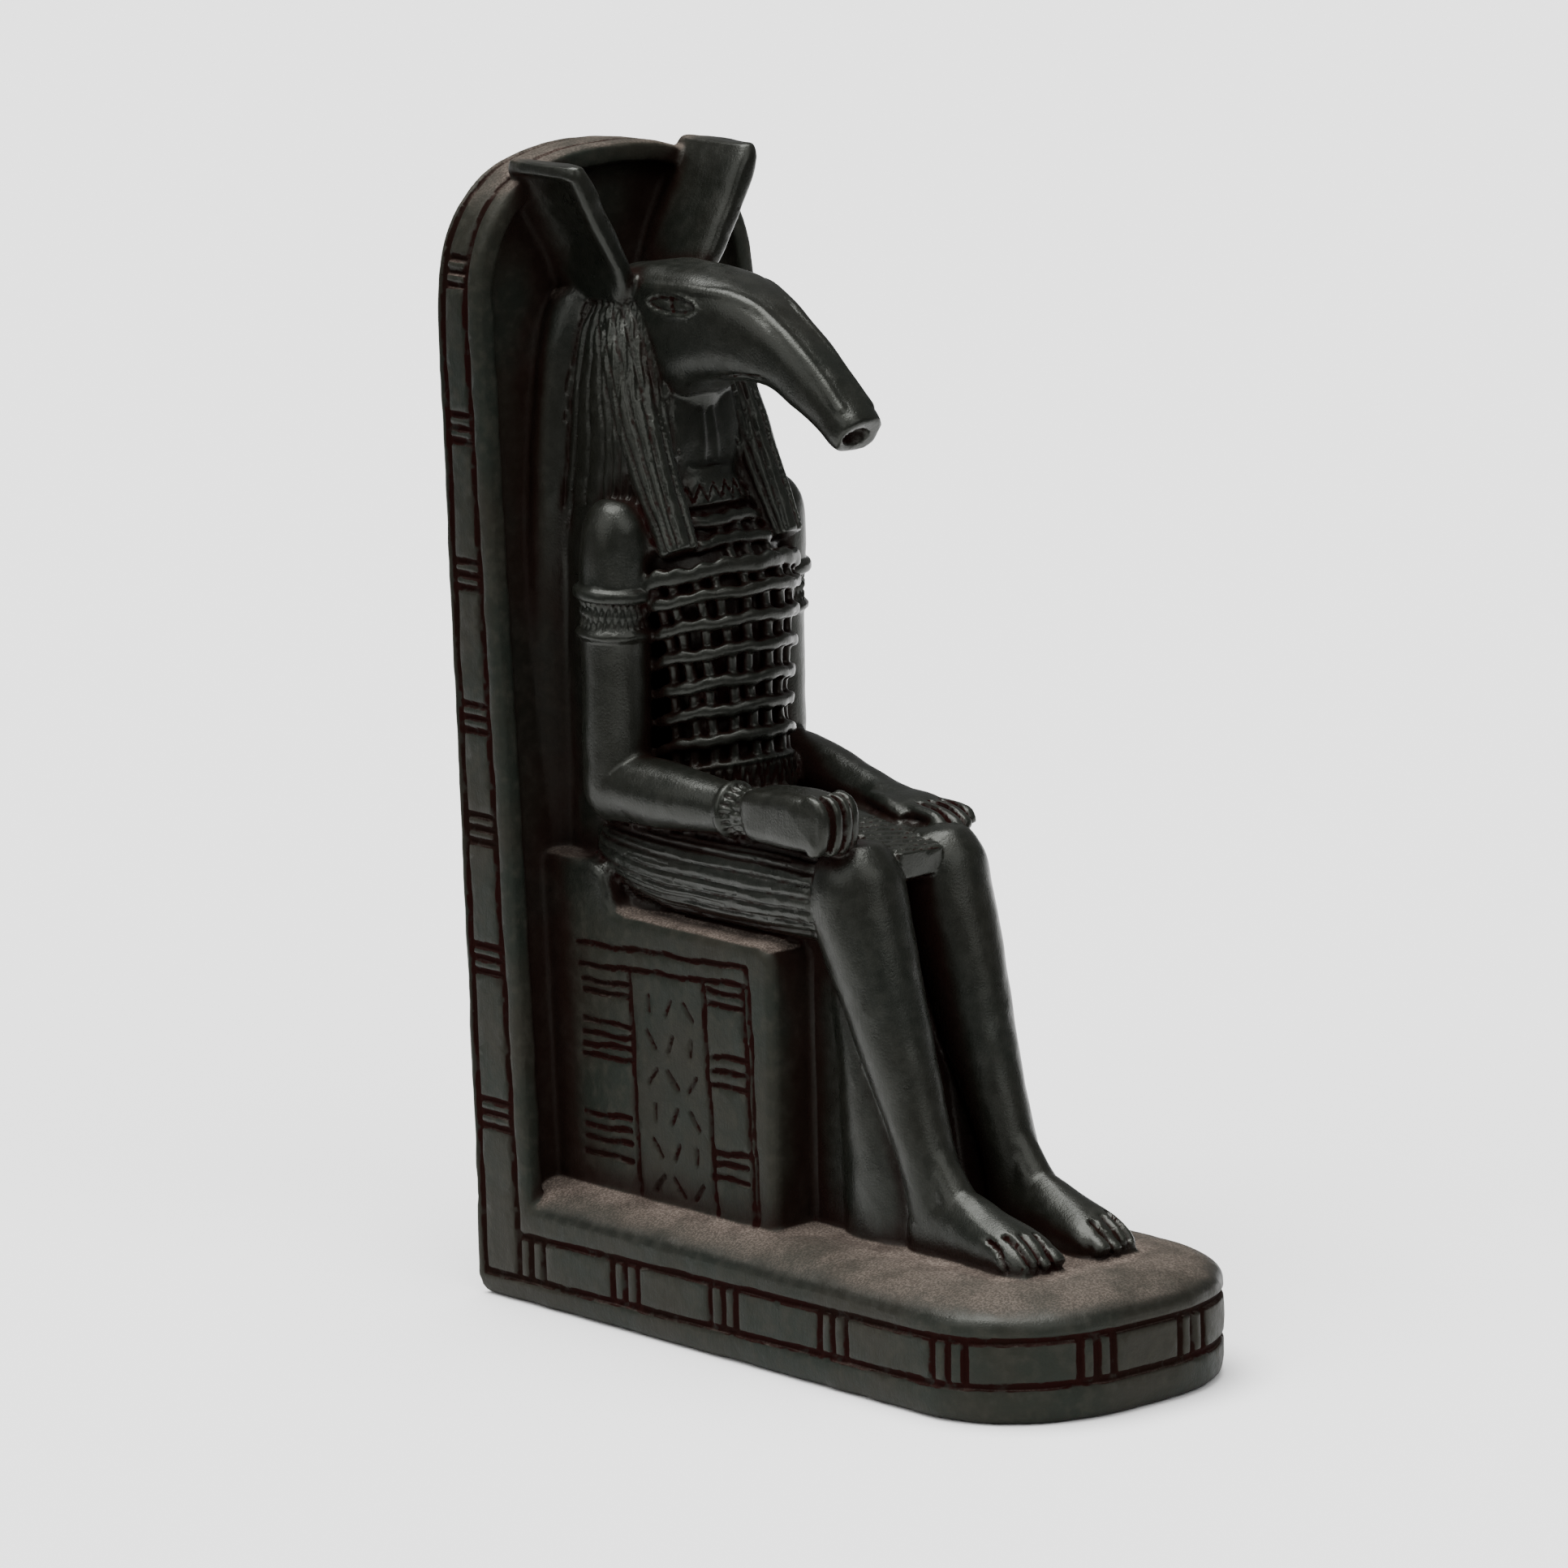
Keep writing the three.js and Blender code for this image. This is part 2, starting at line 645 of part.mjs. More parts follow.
// A point on the chest's skin: `away` is the angle from straight ahead, `lift` how far off the skin.
// The bands of the net droop toward the sides.
function chestPoint(height, away, lift, radius = 1) {
  const aside = Math.min(Math.abs(away), 2 * Math.PI - Math.abs(away));
  const z = height - NET_DROOP * Math.min(aside / (Math.PI / 2), 1.1) ** 2 * radius;
  const row = rowAt(TORSO, whereColumn(TORSO, 2, z));
  const x = Math.sin(away) * (row[3] + lift) * radius;
  const y = row[1] - Math.cos(away) * (row[4] + lift) * radius;
  return new THREE.Vector3(x, y, z);
}

// The chest and waist, with holes between the bands and bars of a net
function chest() {
  const thick = NET_BANDS[NET_THICK_BAND];
  const rings = [
    [72, 0],
    [84, 0],
    [BELT_FOOT - 0.3, 0],
    [BELT_FOOT, 0.6],
    [BELT_TOP, 0.6],
    [BELT_TOP + 0.3, 0],
    [NET_BANDS[6], 0.2],
    [thick - THICK_BAND_HALF - 0.2, 0],
    [thick - THICK_BAND_HALF, 0.9],
    [thick + THICK_BAND_HALF, 0.9],
    [NET_BANDS[0] + NET_BAND_HALF, 0.3],
    [COLLAR_FOOT - 0.4, -0.4],
    [COLLAR_FOOT, 0.5],
    [COLLAR_TOP, 0.5],
    [COLLAR_TOP + 0.4, 0],
  ];
  const stations = rings.map(([height]) => height);
  const sides = Math.round((2 * Math.PI) / NET_STEP);
  const skin = shapedCylinder(sides, stations, (height, angle, radius) => {
    const away = (Math.round((angle * sides) / (2 * Math.PI)) + 0.5) * NET_STEP;
    return chestPoint(height, away, rings[stations.indexOf(height)][1], radius);
  });
  return skin.subtract(joinAll(netHoles()));
}

function netHoles() {
  const holes = [];
  for (let i = 0; i < NET_BANDS.length; i++) {
    const top = NET_BANDS[i] - (i === NET_THICK_BAND ? THICK_BAND_HALF + 0.3 : NET_BAND_HALF);
    const footHalf = i + 1 === NET_THICK_BAND ? THICK_BAND_HALF : NET_BAND_HALF;
    const foot = (NET_BANDS[i + 1] ?? BELT_TOP) + footHalf;
    const reach = i < NET_THICK_BAND ? 1 : NET_HOLES_ASIDE;
    for (let k = -reach; k <= reach; k++) {
      const hole = shapedCylinder(4, [0, 1], (t, angle, radius) => {
        const turned = angle + Math.PI / 4;
        const away = k * NET_STEP + Math.cos(turned) * radius * NET_HOLE_ANGLE;
        const height = (top + foot) / 2 + (Math.sin(turned) * radius * (top - foot)) / Math.SQRT2;
        return chestPoint(height, away, THREE.MathUtils.lerp(-NET_SINK, 2, t));
      });
      holes.push(hole);
    }
  }
  return holes;
}

// Zigzags between two ridges, near the top of the upper arm
function upperArm(mirror) {
  const ridges = [
    [ARMLET_TOP, 0],
    [126.9, 0.8],
    [125.4, 0.5],
    [124, 0.3],
    [121.4, 0.3],
    [119.9, 0.6],
    [ARMLET_FOOT, 0],
  ];
  const zigzagRings = [3, 4];
  const places = ridges.map(([height]) => whereColumn(UPPER_ARM, 2, height));
  const stations = [0, 0.1, 0.24, ...places, 0.65, 0.88, 1];
  const relief = (t, side) => {
    const ring = places.indexOf(t);
    if (ring < 0) return 0;
    const zigzag = zigzagRings.includes(ring) && (side + ring) % 2 !== 0 ? 0.4 : 0;
    return ridges[ring][1] - zigzag;
  };
  return limb(UPPER_ARM, { sides: 10, stations, mirror, relief });
}

function rightForearm() {
  const places = [-38.2, -38.8, -46].map((y) => whereColumn(FOREARM, 1, y));
  const stations = [0, 0.1, 0.2, 0.42, ...places, 1];
  const relief = (t) => (places.indexOf(t) > 0 ? 0.5 : 0);
  return limb(FOREARM, { sides: 10, stations, mirror: RIGHT, relief });
}

// The closed hand: a block with four fingers folded down over its front, and the thumb
function fist() {
  const fingers = FOLDED_FINGERS.map(([x, y]) => {
    const path = [
      [x, y + 4.4, 97.0],
      [x, y + 1.6, 96.2],
      [x, y + 0.9, 92.8],
      [x, y + 1.8, 89.4],
      [x, y + 4.6, 88.6],
    ];
    const rows = path.map((point) => [...point, FINGER_RADIUS, FINGER_RADIUS]);
    return limb(rows, { sides: 6, stations: evenly(3), mirror: RIGHT });
  });
  const block = limb(FIST, { sides: 10, stations: [0, 0.2, 0.6, 1], mirror: RIGHT });
  const thumb = limb(FOLDED_THUMB, { sides: 6, stations: evenly(3), mirror: RIGHT });
  return joinAll([block, thumb, ...fingers]);
}

function flatHand() {
  const cuts = FINGER_GAPS.map((gap) => {
    return groove((t, out, up) => {
      const row = rowAt(FINGERS, THREE.MathUtils.lerp(0.35, 1, t));
      return new THREE.Vector3(row[0] + gap + up, row[1] - t, row[2] + row[4] * 0.96 + out);
    }, 1, FINE_GROOVE, 0.9);
  });
  const fingers = limb(FINGERS, { sides: 10, stations: evenly(4) }).subtract(joinAll(cuts));
  return joinAll([fingers, limb(THUMB, { sides: 6, stations: evenly(2) })]);
}

// Pleats run along the kilt, which ends in a hem behind the knee
function thigh(mirror) {
  const hem = whereColumn(THIGH, 1, KILT_HEM);
  const relief = (t, side) => {
    if (t > hem) return -0.1;
    return side % 2 !== 0 && t > 0.1 ? -0.1 : 0.5;
  };
  return limb(THIGH, { sides: 16, stations: [0, 0.12, 0.32, hem, hem + 0.004, 1], mirror, relief });
}

// The kilt's cloth between the thighs
function lap() {
  const shape = new THREE.Shape();
  shape.moveTo(-8, 72);
  shape.lineTo(-8, 91);
  shape.lineTo(-30, 88.6);
  shape.lineTo(-57, 85.2);
  shape.lineTo(-59, 74);
  return acrossX(shape, 9.4, 1);
}

// A pleated tab hangs from the belt along the lap and ends over the knees
function apron() {
  const shape = new THREE.Shape();
  shape.moveTo(-24, 84);
  shape.lineTo(-24, 92.4);
  shape.lineTo(-50, 90);
  shape.lineTo(-69, 87);
  shape.lineTo(-68.6, 82.4);
  shape.lineTo(-60, 80);
  const cuts = evenly(6).map((k) => {
    const y = THREE.MathUtils.lerp(-52, -67, k);
    const top = THREE.MathUtils.mapLinear(y, -50, -69, 90, 87);
    return groove((t, out, up) => {
      return new THREE.Vector3(THREE.MathUtils.lerp(-4, 4, t), y + up, top + out);
    }, 1, FINE_GROOVE, 0.4);
  });
  return acrossX(shape, 4.9, 0.4).subtract(joinAll(cuts));
}

// Strands run down the lappets
function lappet(mirror) {
  const relief = (t, side) => (side % 2 !== 0 ? -0.45 : 0);
  return limb(LAPPET, { sides: 16, stations: [0, 0.3, 0.65, 1], mirror, relief });
}

// The ear's outer side is hollow below a lip, and its top is cut level
function ear(mirror) {
  const stations = [0, 0.25, 0.35, 0.78, 0.84, 1];
  const relief = (t, side) => (side === 0 && t > 0.3 && t < 0.8 ? -EAR_HOLLOW : 0);
  return limb(EAR, { sides: 8, stations, mirror, relief }).trimByPlane([0, 0, -1], -EAR_TOP);
}

// Grooves between the toes run up over the front of the foot
function foot(mirror) {
  const cuts = TOE_GAPS.map((gap) => {
    return groove((t, out, up) => {
      const row = rowAt(FOOT, THREE.MathUtils.lerp(0.78, 1, t));
      const top = row[2] + row[4] * (1 - 0.05 * Math.abs(gap));
      return new THREE.Vector3(mirror * (row[0] + gap + up), row[1] - t, top + out);
    }, 1, TOE_GROOVE, TOE_DEPTH);
  });
  return limb(FOOT, { sides: 12, stations: [0, 0.15, 0.3, 0.5, 0.8, 1], mirror }).subtract(joinAll(cuts));
}

// The eye is an almond pocket
function eyeCut(side) {
  const shape = new THREE.Shape();
  shape.moveTo(-9.9, 175.4);
  shape.quadraticCurveTo(-16.5, 180.2, -23.4, 175.2);
  shape.quadraticCurveTo(-16.5, 172.2, -9.9, 175.4);
  const geometry = new THREE.ExtrudeGeometry(shape, { depth: 2, bevelEnabled: false, curveSegments: 3 });
  geometry.rotateX(Math.PI / 2);
  geometry.rotateZ(Math.PI / 2);
  geometry.translate(side === RIGHT ? -9.6 : 7.6, 0, 0);
  return toSolid(geometry);
}

// The mouth shows as a short line under each cheek
function mouthCuts() {
  const line = [
    [-24, 161.6],
    [-30, 164.2],
    [-37, 164.6],
  ];
  const path = new THREE.CatmullRomCurve3(line.map(([y, z]) => new THREE.Vector3(0, y, z)));
  return [RIGHT, LEFT].map((side) => {
    const along = (t, out, up) => {
      const point = path.getPoint(t);
      const row = rowAt(HEAD, whereColumn(HEAD, 1, point.y));
      return new THREE.Vector3(side * (row[3] * MOUTH_ASIDE + out * 2), point.y, point.z + up);
    };
    return groove(along, 2, FINE_GROOVE, FINE_DEPTH);
  });
}

// One wide hole in the end of the snout
function snoutHole() {
  const geometry = new THREE.SphereGeometry(1, 10, 6);
  geometry.scale(...SNOUT_HOLE.toArray());
  geometry.translate(0, -55.3, 155.8);
  return toSolid(geometry);
}

function head() {
  const solid = limb(HEAD, { sides: 14, stations: evenly(8) });
  return solid.subtract(joinAll([eyeCut(RIGHT), eyeCut(LEFT), ...mouthCuts(), snoutHole()]));
}

const stoneBody = joinAll([
  slab().subtract(slabHollow()),
  base(),
  throne(),
]).subtract(joinAll([...slabGrooves(), ...baseGrooves(), ...throneGrooves()]));

const joined = joinAll([
  stoneBody,
  legWeb(),
  chest(),
  lap(),
  apron(),
  limb(NECK, { sides: 12, stations: evenly(4) }),
  head(),
  limb(WIG, { sides: 14, stations: [0, 0.1, 0.25, 0.45, 0.7, 1] }),
  limb(WIG_SLOPE, { sides: 8, stations: [0, 0.2, 0.4, 1] }),
  rightForearm(),
  limb(LEFT_FOREARM, { sides: 10, stations: evenly(7) }),
  fist(),
  flatHand(),
  ...[RIGHT, LEFT].flatMap((mirror) => [
    ear(mirror),
    lappet(mirror),
    limb(SHOULDER, { sides: 8, stations: evenly(2), mirror }),
    upperArm(mirror),
    thigh(mirror),
    limb(CALF_FILL, { sides: 8, stations: evenly(3), mirror }),
    limb(SHIN, { sides: 10, stations: [0, 0.125, 0.25, 0.4, 0.6, 0.75, 0.9, 1], mirror }),
    foot(mirror),
  ]),
]).simplify(SLIVER);

// The outer skin alone: spaces sealed between the joined forms are filled
const shells = joined.decompose();
const statue = shells.reduce((largest, shell) => (shell.volume() > largest.volume() ? shell : largest));

function toGeometry(solid) {
  const mesh = solid.getMesh();
  const geometry = new THREE.BufferGeometry();
  geometry.setAttribute("position", new THREE.BufferAttribute(new Float32Array(mesh.vertProperties), 3));
  geometry.setIndex(new THREE.BufferAttribute(new Uint32Array(mesh.triVerts), 1));
  geometry.computeVertexNormals();
  return geometry;
}

const stone = new THREE.MeshStandardMaterial({ color: 0x2b2e2b, roughness: 0.45, metalness: 0 });
const mesh = new THREE.Mesh(toGeometry(statue), stone);
mesh.name = "seth_statue";
mesh.position.set(0, (BASE_LENGTH - SLAB_THICK_FOOT - slabBack(HEIGHT)) / 2, 0);
const group = new THREE.Group();
group.add(mesh);

export default group;
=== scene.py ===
import math

import bpy
import numpy as np
from mathutils import Matrix, Vector
from mathutils.bvhtree import BVHTree


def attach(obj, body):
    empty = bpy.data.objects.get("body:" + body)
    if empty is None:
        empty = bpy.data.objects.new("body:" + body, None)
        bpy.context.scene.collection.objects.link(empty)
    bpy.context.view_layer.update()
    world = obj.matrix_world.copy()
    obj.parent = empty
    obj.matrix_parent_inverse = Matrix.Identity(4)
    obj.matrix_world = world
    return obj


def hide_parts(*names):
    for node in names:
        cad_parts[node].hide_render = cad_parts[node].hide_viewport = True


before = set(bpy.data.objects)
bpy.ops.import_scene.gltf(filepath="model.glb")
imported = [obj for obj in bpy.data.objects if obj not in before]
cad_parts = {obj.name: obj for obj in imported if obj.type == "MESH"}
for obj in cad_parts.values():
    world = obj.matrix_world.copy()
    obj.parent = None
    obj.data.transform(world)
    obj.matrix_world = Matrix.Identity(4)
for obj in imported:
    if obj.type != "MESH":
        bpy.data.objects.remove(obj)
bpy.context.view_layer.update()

# The statue is shaped in millimetres with y = 0 at the foot of the slab's front face, as the solid is,
# and is then moved and scaled into the frame.
MM = 0.001

# Slab
HEIGHT = 200
SLAB_HALF_FOOT = 30.6
SLAB_HALF_SHOULDER = 31.5
ARCH_RISE = 28.2
ARCH_POWER = 2.5
SLAB_THICK_FOOT = 15.5
SLAB_THICK_TOP = 11.5
SLAB_BACK_LEAN = 0.023
SLAB_START = 3.3
RIM = 3.4
HOLLOW = 3.6
HOLLOW_COVE = 3.2

# Base
BASE_LENGTH = 138.8
BASE_SIDE = 17.7
BASE_TOP = 21.4
CORNER_X = 25.4
CORNER_Y = 21.7
# Shares of the way from the front's middle to the back that the flat front, the corner and the side take
FRONT_SHARE = 0.1
CORNER_SHARE = 0.7
SIDE_SHARE = 0.2
CORNER_END = 0.8

# Throne
SEAT_HALF = 20.6
SEAT_FRONT = -53
SEAT_TOP = 70.4
POST_TOP = 78.8
POST_FRONT = -9.5

# Bands of grooves on the slab's edge and round the base
BAND_BACK = 2.3
BAND_FRONT = 3.7
BAND_LOW = 4.4
BAND_HIGH = 12.2
BAND_CLIMB = 2.4
SLAB_BLOCK_HEIGHTS = [33, 60.5, 83.5, 103, 128, 153.5, 180.5]
SLAB_BLOCK_PITCH = 2.3
BASE_BLOCK_PITCH = 3.3
BASE_BLOCKS = [0.0126, 0.0342, 0.0562, 0.0803, 0.152, 0.4]

# The net over the chest: the heights of its bands, which of them is thick, how far they sag at the
# sides, the angle from bar to bar, and how far the chest is sunk behind them
NET_BANDS = [138, 134.6, 130.8, 126.8, 122, 117, 111.6, 106.7, 101.7]
NET_THICK_BAND = 2
NET_DROOP = 2.9
NET_STEP = math.pi / 10
NET_SINK = 2.4

# Collar, belt, armlets, bracelet and kilt
COLLAR_TOP = 144.3
COLLAR_FOOT = 141
BELT_TOP = 97.6
BELT_FOOT = 91.5
ARMLET_TOP = 127.4
ARMLET_FOOT = 118.6
BRACELET_BACK = -38.9
BRACELET_FRONT = -46.9
ARMLET_ZIGZAG = (120.9, 124.9)
BRACELET_ZIGZAG = (-40.2, -45.6)
KILT_HEM = -60

# Ears, which are hollowed on their outer sides, and the hole in the snout's end
EAR_HOLLOW_SPREAD = 0.75
EAR_HOLLOW_DEPTH = 3.4
EAR_TOP = 199.2
SNOUT_END = (-0.9, -54.7, 156.2)
SNOUT_HOLE_HALF = (2.8, 2.0)
SNOUT_HOLE_DEPTH = 2.2

# Eye and cheek
FACE_HALF = 8.5
EYE_Y = -16.5
EYE_Z = 175.4
EYE_HALF_LENGTH = 6.0
EYE_HALF_HEIGHT = 1.55

RIGHT = -1
LEFT = 1
SIDES = (RIGHT, LEFT)

# Kinds of strokes: half width, depth, how far off the line the skin may lie, and the share of the depth
# that dirt fills. One with a depth below 0 stands out.
STROKES = {
    "band": (0.8, 0.8, 1.6, 1),
    "slab block": (0.75, 0.75, 1.6, 1),
    "panel": (0.6, 0.7, 1.6, 1),
    "sign": (0.5, 0.5, 1.6, 1),
    "armlet": (0.42, 0.5, 1.6, 0.55),
    "collar": (0.36, 0.55, 1.6, 1),
    "belt": (0.42, 0.6, 1.6, 1),
    "tassel": (0.32, 0.55, 1.6, 1),
    "belt line": (0.36, 0.35, 1.6, 1),
    "pleat": (0.5, 0.55, 1.6, 0.55),
    "short pleat": (0.36, 0.25, 1.6, 0.55),
    "hem": (0.5, 0.35, 1.6, 1),
    "apron": (0.36, 0.45, 0.9, 1),
    "lappet": (0.5, 0.6, 1.6, 0.55),
    "wig": (0.46, 0.45, 1.6, 0.55),
    "eye rim": (0.5, -0.4, 2.2, 1),
    "eye line": (0.42, 0.35, 2.2, 1),
    "pupil": (0.5, 0.8, 2.2, 1),
    "brow": (1.3, -0.4, 2.6, 1),
    "mouth": (0.4, 0.5, 2.2, 1),
    "throat": (0.9, -0.3, 3, 1),
    "fist": (0.5, 0.9, 2, 1),
    "finger": (0.42, 0.8, 2, 1),
    "toe": (0.45, 1.0, 2.4, 1),
}

# Colours
STONE_GREEN = (0.0088, 0.0112, 0.0086)
STONE_GREY = (0.0134, 0.0124, 0.0092)
STONE_PALE = (0.024, 0.023, 0.018)
STONE_POLISHED = (0.0042, 0.0046, 0.0036)
# Paler stone on bulging edges: partly wear, partly a painted highlight
STONE_WEAR_AND_HIGHLIGHT = (0.030, 0.033, 0.027)
# Red-brown soil: real dirt in grooves and narrow recesses, and painted shade where it is laid over the wide
# hollows
DIRT_AND_SHADE_RED = (0.0100, 0.0026, 0.0022)
DIRT_AND_SHADE_BROWN = (0.0076, 0.0034, 0.0025)
DUST_DARK = (0.062, 0.050, 0.042)
DUST = (0.128, 0.104, 0.088)
SHEEN = (0.97, 1.0, 0.92, 1)

# How rough and how shiny the matte, polished, worn and dirty surfaces are
ROUGH_MATTE = (0.46, 0.6)
ROUGH_POLISHED = (0.27, 0.37)
ROUGH_WORN = 0.3
ROUGH_DIRTY = 0.85
GLOSS_MATTE = 0.1
GLOSS_POLISHED = 0.25
GLOSS_WORN = 0.3
GLOSS_DIRTY = 0.03

# How fine the noises are
CLOUD_SCALE = 45
DUST_SCALE = 130
GRAIN_SCALE = 420
SCRATCH_SCALE = 1500
FINE_SCALE = 2600

# Mesh
SOFT_VOXEL = 0.5
SOFT_STEPS = 8
VOXEL = 0.4
SMOOTH_STEPS = 2
TRIANGLES = 196000
SWELL = 0.004

# Rays from each vertex, how far they look for recesses and for shade, and how many times each value
# the material reads is spread to its neighbours
RAYS = 16
RECESS_REACH = 1.6
SHADE_REACH = 16
SPREAD = {"recess": 1, "shade": 1, "polish": 4, "edge": 3, "groove": 0}

# The step round the base's top is polished this far up and down, and this much
BASE_RIM = 1.1
RIM_POLISH = 0.8

# Stage and lights: each sun's name, the way it shines and its strength
FLOOR_NEAR = -0.32
FLOOR_FAR = 6
FLOOR_GREY = 0.9
WORLD_LIGHT = 0.22
SUN_WIDTH = 50
SUNS = [
    ("sun_left", (0.9, -0.1, -0.6), 1.25),
    ("sun_above", (0.1, -0.15, -1), 7.3),
    ("sun_front", (0.15, 0.75, -0.65), 1.5),
]

# Camera, fitted to the outline of the slab and the base. CAMERA_ASIDE is the slope by which its
# target lies beside the middle of the view.
CAMERA_LENS = 221.1
CAMERA_AZIMUTH = -41.0
CAMERA_ELEVATION = 11.68
CAMERA_ROLL = 1.127
CAMERA_DISTANCE = 1.6403
CAMERA_TARGET = (0, 0.0066, 0.095)
CAMERA_ASIDE = -53.98 / 11867

# Each row is one cross-section: x, y, z of its middle, half width, half depth and, unless all of them
# are round, how square it is, where 2 is round
COLUMN_Y = 1
COLUMN_Z = 2
TORSO = [
    [0, -12, 70, 16, 11],
    [0, -15.5, 82, 15.2, 12.2],
    [0, -17, 94, 12.6, 12],
    [0, -17, 106, 12, 11.6],
    [0, -17, 118, 13.6, 11.4],
    [0, -16.2, 128, 15.6, 11],
    [0, -13.6, 135, 14.6, 8.4],
    [0, -10.4, 141, 10.2, 8.2],
    [0, -9.6, 147, 8.2, 8],
]
NECK = [
    [0, -8.5, 142, 8.2, 7.4],
    [0, -7.6, 150, 7.6, 6.6],
    [0, -8, 158, 7.8, 7.4],
    [0, -9, 168, 7.8, 8],
]
HEAD = [
    [0, 3, 170, 8.2, 10, 3],
    [0, -8, 169.4, 8.7, 12, 3.6],
    [0, -19, 171.2, 8.5, 9.9, 3.4],
    [0, -28, 170.6, 7.6, 8.2, 3.1],
    [0, -37, 167.9, 6.2, 6, 2.8],
    [0, -44.6, 163.5, 5.2, 5.1, 2.6],
    [0, -50, 159.7, 4.8, 4.4, 2.6],
    [0, -53.4, 157.2, 4.7, 4.1, 2.8],
    [0, -55, 156, 4.3, 3.7, 2.8],
]
EAR = [
    [6.6, 2, 172, 2.4, 7, 3],
    [9.9, 2.8, 179.4, 2.5, 9.6, 3.6],
    [12.9, 2.9, 185, 2.7, 9.9, 4],
    [15.7, 2.9, 190, 2.8, 9.9, 4],
    [17.7, 2.9, 194.2, 2.9, 9.9, 4],
    [18.9, 2.9, 197, 2.6, 9.7, 3.4],
    [19.5, 2.9, 200.4, 1.5, 8.4, 2.4],
]
# The wig's back slopes out into the slab's hollow
WIG_SLOPE = [
    [0, 8, 177, 11, 6, 2],
    [0, 8, 171, 15.5, 8, 2],
    [0, 8, 156, 18.6, 8.4, 2],
    [0, 8, 135, 20.6, 8.4, 1.8],
    [0, 8.6, 110, 20.6, 7.8, 1.5],
    [0, 9, 74, 20, 7.4, 1.5],
]
WIG = [
    [0, 0, 176, 8.8, 8, 2.4],
    [0, -0.5, 170, 12.4, 10.6, 2.6],
    [0, -1.5, 160, 14.8, 12.4, 2.9],
    [0, -2.5, 149, 15.9, 13.4, 3.2],
    [0, -1, 136, 16.4, 13, 3.2],
    [0, 2, 120, 16, 10, 3],
    [0, 1, 98, 15.6, 9, 3],
    [0, 1, 74, 15.6, 9, 3],
]
LAPPET = [
    [8.6, -1.5, 173, 2.6, 3.4, 2],
    [9.8, -5.6, 166, 4.6, 4.4, 2],
    [10.8, -10.4, 155, 4.8, 4.4, 2],
    [11.5, -15.6, 144, 4.2, 3.6, 2.4],
    [11.9, -21.2, 133.4, 3.4, 2.8, 3],
]
SHOULDER = [
    [5, -9, 139, 5, 6],
    [12, -10.5, 136, 6.4, 7.4],
    [17, -11, 133, 5.4, 6.4],
]
UPPER_ARM = [
    [16.4, -11, 141.8, 2.6, 2.8],
    [17, -11, 139.4, 5, 5.4],
    [17.3, -11, 135, 6, 6.5],
    [17.5, -10.6, 124, 6, 6.4],
    [17.5, -10.4, 110, 5.8, 6.2],
    [17.5, -10.2, 98, 5.8, 6.2],
    [17.5, -10.2, 90.5, 5.4, 5.8],
    [17.2, -10.6, 86.6, 2.8, 3],
]
FOREARM = [
    [17.5, -5.6, 91.8, 3, 3],
    [17.5, -9, 92, 5.4, 5.6],
    [17.2, -18, 92.4, 5.8, 6],
    [16.6, -28, 92.2, 5.2, 5.4],
    [15.8, -38, 92, 4.3, 4.4],
    [15.4, -46, 92.2, 4.1, 4],
    [15.3, -50, 92.2, 4.1, 4],
]
LEFT_FOREARM = [
    [17.4, -5.6, 91.8, 3, 3],
    [17.4, -9, 92, 5.4, 5.6],
    [17, -18, 92.2, 5.6, 5.8],
    [16.2, -28, 91.4, 5, 5.2],
    [15.4, -38, 90.2, 4.2, 3.9],
    [14.8, -45, 89.8, 4.2, 3],
    [14.4, -50, 89.4, 5, 2.4],
    [14.2, -54, 88.9, 4.8, 1.9],
]
FIST = [
    [15.6, -45.8, 92.3, 3.4, 3.2, 3],
    [15.9, -47.4, 92.6, 4.9, 4.5, 4],
    [16.1, -54, 92.9, 5, 4.8, 4.4],
    [16.2, -60, 92.9, 5, 4.8, 4.4],
    [16.1, -64.4, 92.6, 4.9, 4.4, 4],
]
PALM = [
    [14.5, -47, 89.9, 4.4, 2.4, 2.2],
    [14.3, -52, 89.8, 5, 2, 2.4],
    [14.2, -56.5, 89.2, 5, 1.5, 2.6],
]
THUMB = [
    [12, -43, 90.4, 1.5, 1.4],
    [10.2, -48.5, 90.4, 1.7, 1.6],
    [8.8, -54.8, 88.9, 1.1, 1.1],
]
FOLDED_THUMB = [
    [11.6, -49, 94.2, 1.6, 1.8],
    [11.2, -56, 95.2, 1.7, 1.7],
    [12.6, -63.2, 95.2, 1.6, 1.5],
    [14, -65.6, 94.6, 1.1, 1.1],
]
THIGH = [
    [8.6, -3, 81.5, 6.6, 4.6],
    [9, -8, 80.6, 9.2, 7.4],
    [9.4, -20, 79.4, 9.7, 8.7],
    [9.4, -34, 79.2, 9.5, 9],
    [9.5, -48, 79.4, 9.2, 9],
    [9.5, -62, 79.4, 7.8, 8],
]
SHIN = [
    [9.5, -60, 88.4, 2.6, 3.4],
    [9.5, -60.4, 86.8, 6, 7.2],
    [9.5, -61.6, 82.4, 7.9, 9.4],
    [9.5, -63.8, 76.4, 7.9, 9.2],
    [9.5, -67.2, 68, 7.2, 8.2],
    [9.3, -71.2, 57, 6.4, 7.1],
    [9.1, -75.6, 45.5, 5.4, 5.8],
    [9, -79.8, 35, 4.9, 5.1],
    [8.9, -82.8, 24, 4.8, 6],
]
CALF_FILL = [
    [8.8, -59.5, 64, 3, 3],
    [8.8, -62.8, 54, 4, 4.6],
    [8.9, -65.4, 42, 4.4, 6.4],
    [9, -67.8, 30, 4.7, 8.4],
    [9, -69.8, 18, 5, 10.2],
]
